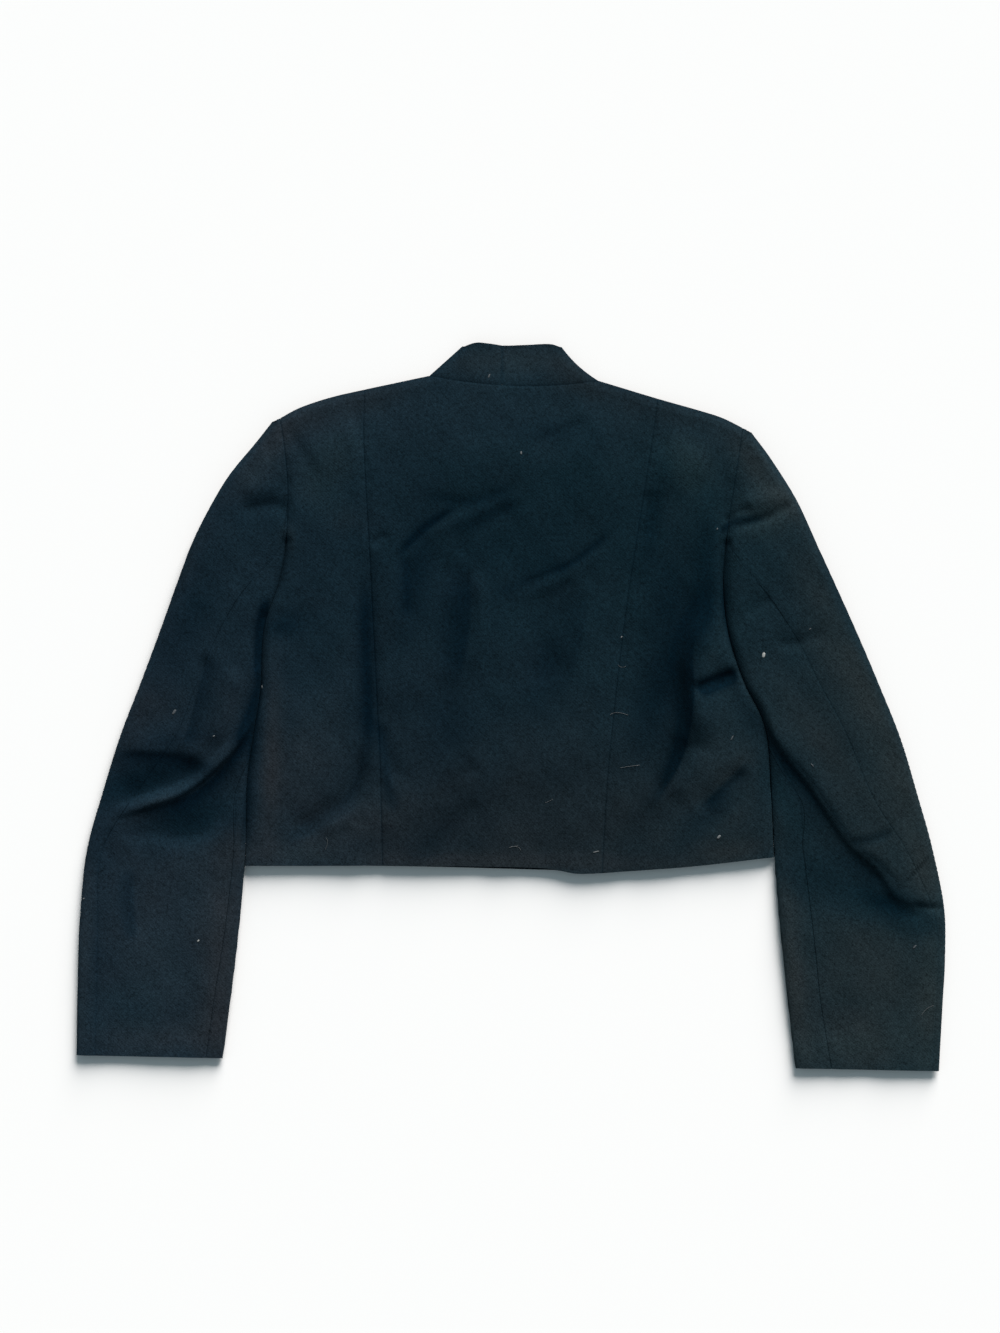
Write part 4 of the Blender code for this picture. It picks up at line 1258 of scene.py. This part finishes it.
def ring_rows(rings, first):
    """Ring places from one ring on, with each ring's own number of rows to the next."""
    places = []
    for index in range(first, len(rings) - 1):
        count = rings[index].rows * SLEEVE_ROWS
        places += [index + step / count for step in range(count)]
    return np.array(places + [len(rings) - 1])


def sleeve_point(lie, rings, ring, turn):
    """A point of the sleeve. The turn is 0 at the inner edge, 1 at the outer and 2 back inside."""
    inner, outer = inner_edge(rings, ring), outer_edge(rings, ring)
    width = np.linalg.norm(outer - inner, axis=1)
    turn = np.mod(turn, 2.0)
    share = across_share(np.where(turn <= 1, turn, 2 - turn))
    share = inset(share, width, edge_clearance(lie, ring), 0)
    plan = inner + (outer - inner) * share[:, None]
    return np.column_stack([plan, np.where(turn <= 1, lie.upper(plan), lie.lower(plan))])


class JACKET_OT_sleeves(bpy.types.Operator):
    """Set in the two sleeves, each a top sleeve and an under sleeve"""

    bl_idname = "jacket.set_sleeves"
    bl_label = "Set Sleeves"

    def execute(self, context):
        lie = Lie(context.scene.jacket_cloth)
        wool = wool_cloth(context.scene.jacket_wool)
        for side, rings in (("left", LEFT_RINGS), ("right", RIGHT_RINGS)):
            for name, columns, rows, place in self.halves(lie, rings):
                node = f"sleeve_{name}_{side}"
                sew_in(cloth(f"wool_{node}", columns, rows, place, lie), node, wool)
        return {"FINISHED"}

    def halves(self, lie, rings):
        """The top sleeve goes over the outer edge, and the under sleeve fills in to the inner one."""
        seams = np.array([(turn_at(r.back_seam), turn_at(r.front_seam)) for r in rings])
        top_rings = ring_rows(rings, 0)
        under_rings = top_rings[top_rings > UNDER_SLEEVE_START]

        def half_gap(turn):
            """Half of a seam's gap as a turn, wider where the seam crosses the folded edge."""
            return SLEEVE_SEAM_TURN * (1 + EDGE_WIDENING * hump(turn / EDGE_WIDENING_TURN))

        def top_place(u, v):
            ring = top_rings[np.round(v * (len(top_rings) - 1)).astype(int)]
            back, front = spline(seams, ring).T
            sewn = ring > UNDERARM_RING - 1
            start = np.where(sewn, np.maximum(back, 0) + half_gap(back), TUBE_SLIT)
            end = np.where(sewn, 2 + front - half_gap(front), 2 - TUBE_SLIT)
            return sleeve_point(lie, rings, ring, start + (end - start) * near_ends(u, SEAM_CROWDING))

        def under_place(u, v):
            ring = under_rings[np.round(v * (len(under_rings) - 1)).astype(int)]
            back, front = spline(seams, ring).T
            start, end = front + half_gap(front), back - half_gap(back)
            return sleeve_point(lie, rings, ring, start + (end - start) * near_ends(u, SEAM_CROWDING) + 2)

        top_columns, under_columns = 160, 90
        return (
            ("top", top_columns, len(top_rings) - 1, top_place),
            ("under", under_columns, len(under_rings) - 1, under_place),
        )


class JACKET_OT_lint(bpy.types.Operator):
    """Scatter the bits of lint and hair that cling to the nap"""

    bl_idname = "jacket.scatter_lint"
    bl_label = "Scatter Lint"

    def execute(self, context):
        lie = Lie(context.scene.jacket_cloth)
        look = context.scene.jacket_wool
        nodes = Nodes("pale_lint")
        place = nodes.add("ShaderNodeTexCoord", out="Object")
        fluff = nodes.noise(place, NAP_SCALE, detail=2.0)
        pale = nodes.add("ShaderNodeAttribute", {"attribute_name": "pale"}, out="Fac")
        thickness = pale * (fluff * FLUFF_CONTRAST + (1 - FLUFF_CONTRAST / 2))
        tint = nodes.mix(colour(FAINT_LINT), colour(look.lint), thickness)
        roughness = fluff * LINT_ROUGHNESS_SPREAD + (LINT_ROUGHNESS - LINT_ROUGHNESS_SPREAD / 2)
        material = nodes.finish(Base_Color=tint, Roughness=roughness)
        bits = [self.fleck(lie, row) for row in FLECKS] + [self.hair(lie, row) for row in HAIRS]
        bpy.ops.object.select_all(action="DESELECT")
        for bit in bits:
            bit.select_set(True)
        context.view_layer.objects.active = bits[0]
        bpy.ops.object.join()
        lint = context.active_object
        lint.name = lint.data.name = "lint"
        lint.data.materials.clear()
        lint.data.materials.append(material)
        bpy.ops.object.shade_smooth()
        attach(lint, "root")
        return {"FINISHED"}

    def fleck(self, lie, row):
        """A flat tuft that lies on the cloth."""
        at = np.array([[row.x, row.y]])
        bpy.ops.mesh.primitive_uv_sphere_add(segments=10, ring_count=6, radius=1.0)
        tuft = bpy.context.active_object
        points = np.empty(len(tuft.data.vertices) * 3)
        tuft.data.vertices.foreach_get("co", points)
        points = points.reshape(-1, 3) * (row.length / 2, row.width / 2, FLECK_HALF_HEIGHT)
        points[:, 1] += FLECK_CURL * row.width * np.sin(points[:, 0] / row.length * FLECK_CURL_TURN)
        angle = np.radians(row.degrees)
        turned = points[:, :2] @ np.array([[np.cos(angle), np.sin(angle)], [-np.sin(angle), np.cos(angle)]])
        top = lie.upper(at)[0] + lie.wall / 2
        placed = np.column_stack([turned + at - (CENTRE_X, CENTRE_Y), points[:, 2] + top + FLECK_LIFT])
        return self.settle(tuft, placed, row.pale)

    def settle(self, bit, points, pale):
        """Put a bit of lint in its place and note how pale it is."""
        bit.data.vertices.foreach_set("co", (points * MM).ravel())
        shade = bit.data.attributes.new("pale", "FLOAT", "POINT")
        shade.data.foreach_set("value", np.full(len(points), pale))
        return bit

    def hair(self, lie, row):
        """A fine bent fibre that follows the cloth."""
        line = bend_line(row)
        top = lie.upper(line) + lie.wall / 2 + row.width
        ahead = np.gradient(line, axis=0)
        aside = np.column_stack([-ahead[:, 1], ahead[:, 0]]) / np.linalg.norm(ahead, axis=1)[:, None]
        bpy.ops.mesh.primitive_cylinder_add(vertices=6, radius=1.0, depth=2.0, end_fill_type="NGON")
        fibre = bpy.context.active_object
        bpy.ops.object.mode_set(mode="EDIT")
        for cut in np.linspace(-1, 1, len(line))[1:-1]:
            bpy.ops.mesh.select_all(action="SELECT")
            bpy.ops.mesh.bisect(plane_co=(0, 0, cut), plane_no=(0, 0, 1))
        bpy.ops.object.mode_set(mode="OBJECT")
        points = np.empty(len(fibre.data.vertices) * 3)
        fibre.data.vertices.foreach_get("co", points)
        points = points.reshape(-1, 3)
        share = (points[:, 2] + 1) / 2 * (len(line) - 1)
        centre, sideways = spline(line, share), spline(aside, share)
        height = spline(top[:, None], share)[:, 0]
        radius = row.width / 2
        plan = centre + sideways * points[:, :1] * radius - (CENTRE_X, CENTRE_Y)
        placed = np.column_stack([plan, height + points[:, 1] * radius])
        return self.settle(fibre, placed, row.pale)


class JACKET_OT_stage(bpy.types.Operator):
    """Set the pale floor, the soft light and the camera looking straight down"""

    bl_idname = "jacket.set_stage"
    bl_label = "Set Stage"

    def execute(self, context):
        look = context.scene.jacket_stage
        bpy.ops.object.select_all(action="DESELECT")
        bpy.ops.mesh.primitive_plane_add(size=FLOOR_SIZE, location=(0, 0, -FLOOR_DROP))
        floor = context.active_object
        floor.name = "floor"
        nodes = Nodes("pale_floor")
        nodes.shader.inputs["Base Color"].default_value = colour(look.floor)
        nodes.shader.inputs["Roughness"].default_value = 0.9
        nodes.shader.inputs["Specular IOR Level"].default_value = 0.1
        floor.data.materials.append(nodes.material)
        self.light(context, look)
        self.camera(context, look)
        return {"FINISHED"}

    def light(self, context, look):
        key = bpy.data.lights.new("window", "SUN")
        key.angle = look.key_spread
        key.energy = look.key_strength
        key.color = look.key_tint
        lamp = bpy.data.objects.new("window", key)
        context.scene.collection.objects.link(lamp)
        lamp.rotation_euler = (-(np.pi / 2 - look.key_height), 0, -look.key_turn)
        world = context.scene.world or bpy.data.worlds.new("sky")
        context.scene.world = world
        world.use_nodes = True
        sky = world.node_tree.nodes["Background"]
        sky.inputs["Color"].default_value = colour(look.sky_tint)
        sky.inputs["Strength"].default_value = look.sky
        context.scene.view_settings.view_transform = "Standard"

    def camera(self, context, look):
        eye = bpy.data.cameras.new("camera")
        eye.sensor_fit = "VERTICAL"
        eye.sensor_height = SENSOR_HEIGHT
        tall = PICTURE_HEIGHT_PX * look.picture_scale
        eye.lens = SENSOR_HEIGHT * (look.camera_height - CLOTH_HEIGHT) / tall
        seat = bpy.data.objects.new("camera", eye)
        context.scene.collection.objects.link(seat)
        seat.location = (CAMERA_X, CAMERA_Y, look.camera_height)
        context.scene.camera = seat


class JACKET_PT_panel(bpy.types.Panel):
    """The jacket's steps and settings"""

    bl_label = "Cropped Jacket"
    bl_idname = "JACKET_PT_panel"
    bl_space_type = "VIEW_3D"
    bl_region_type = "UI"
    bl_category = "Jacket"

    def draw(self, context):
        for step in STEPS:
            self.layout.operator(step.bl_idname)
        for settings in (context.scene.jacket_cloth, context.scene.jacket_wool, context.scene.jacket_stage):
            box = self.layout.box()
            for name in settings.bl_rna.properties.keys():
                if name not in ("rna_type", "name"):
                    box.prop(settings, name)


STEPS = (
    JACKET_OT_fronts,
    JACKET_OT_back,
    JACKET_OT_collar,
    JACKET_OT_sleeves,
    JACKET_OT_lint,
    JACKET_OT_stage,
)
CLASSES = (ClothSizes, WoolLook, StageLook, *STEPS, JACKET_PT_panel)


def register():
    for each in CLASSES:
        bpy.utils.register_class(each)
    bpy.types.Scene.jacket_cloth = bpy.props.PointerProperty(type=ClothSizes)
    bpy.types.Scene.jacket_wool = bpy.props.PointerProperty(type=WoolLook)
    bpy.types.Scene.jacket_stage = bpy.props.PointerProperty(type=StageLook)


def unregister():
    del bpy.types.Scene.jacket_stage
    del bpy.types.Scene.jacket_wool
    del bpy.types.Scene.jacket_cloth
    for each in reversed(CLASSES):
        bpy.utils.unregister_class(each)


def main():
    register()
    bpy.ops.jacket.lay_fronts()
    bpy.ops.jacket.lay_back()
    bpy.ops.jacket.set_collar()
    bpy.ops.jacket.set_sleeves()
    bpy.ops.jacket.scatter_lint()
    bpy.ops.jacket.set_stage()


if __name__ == "__main__":
    main()
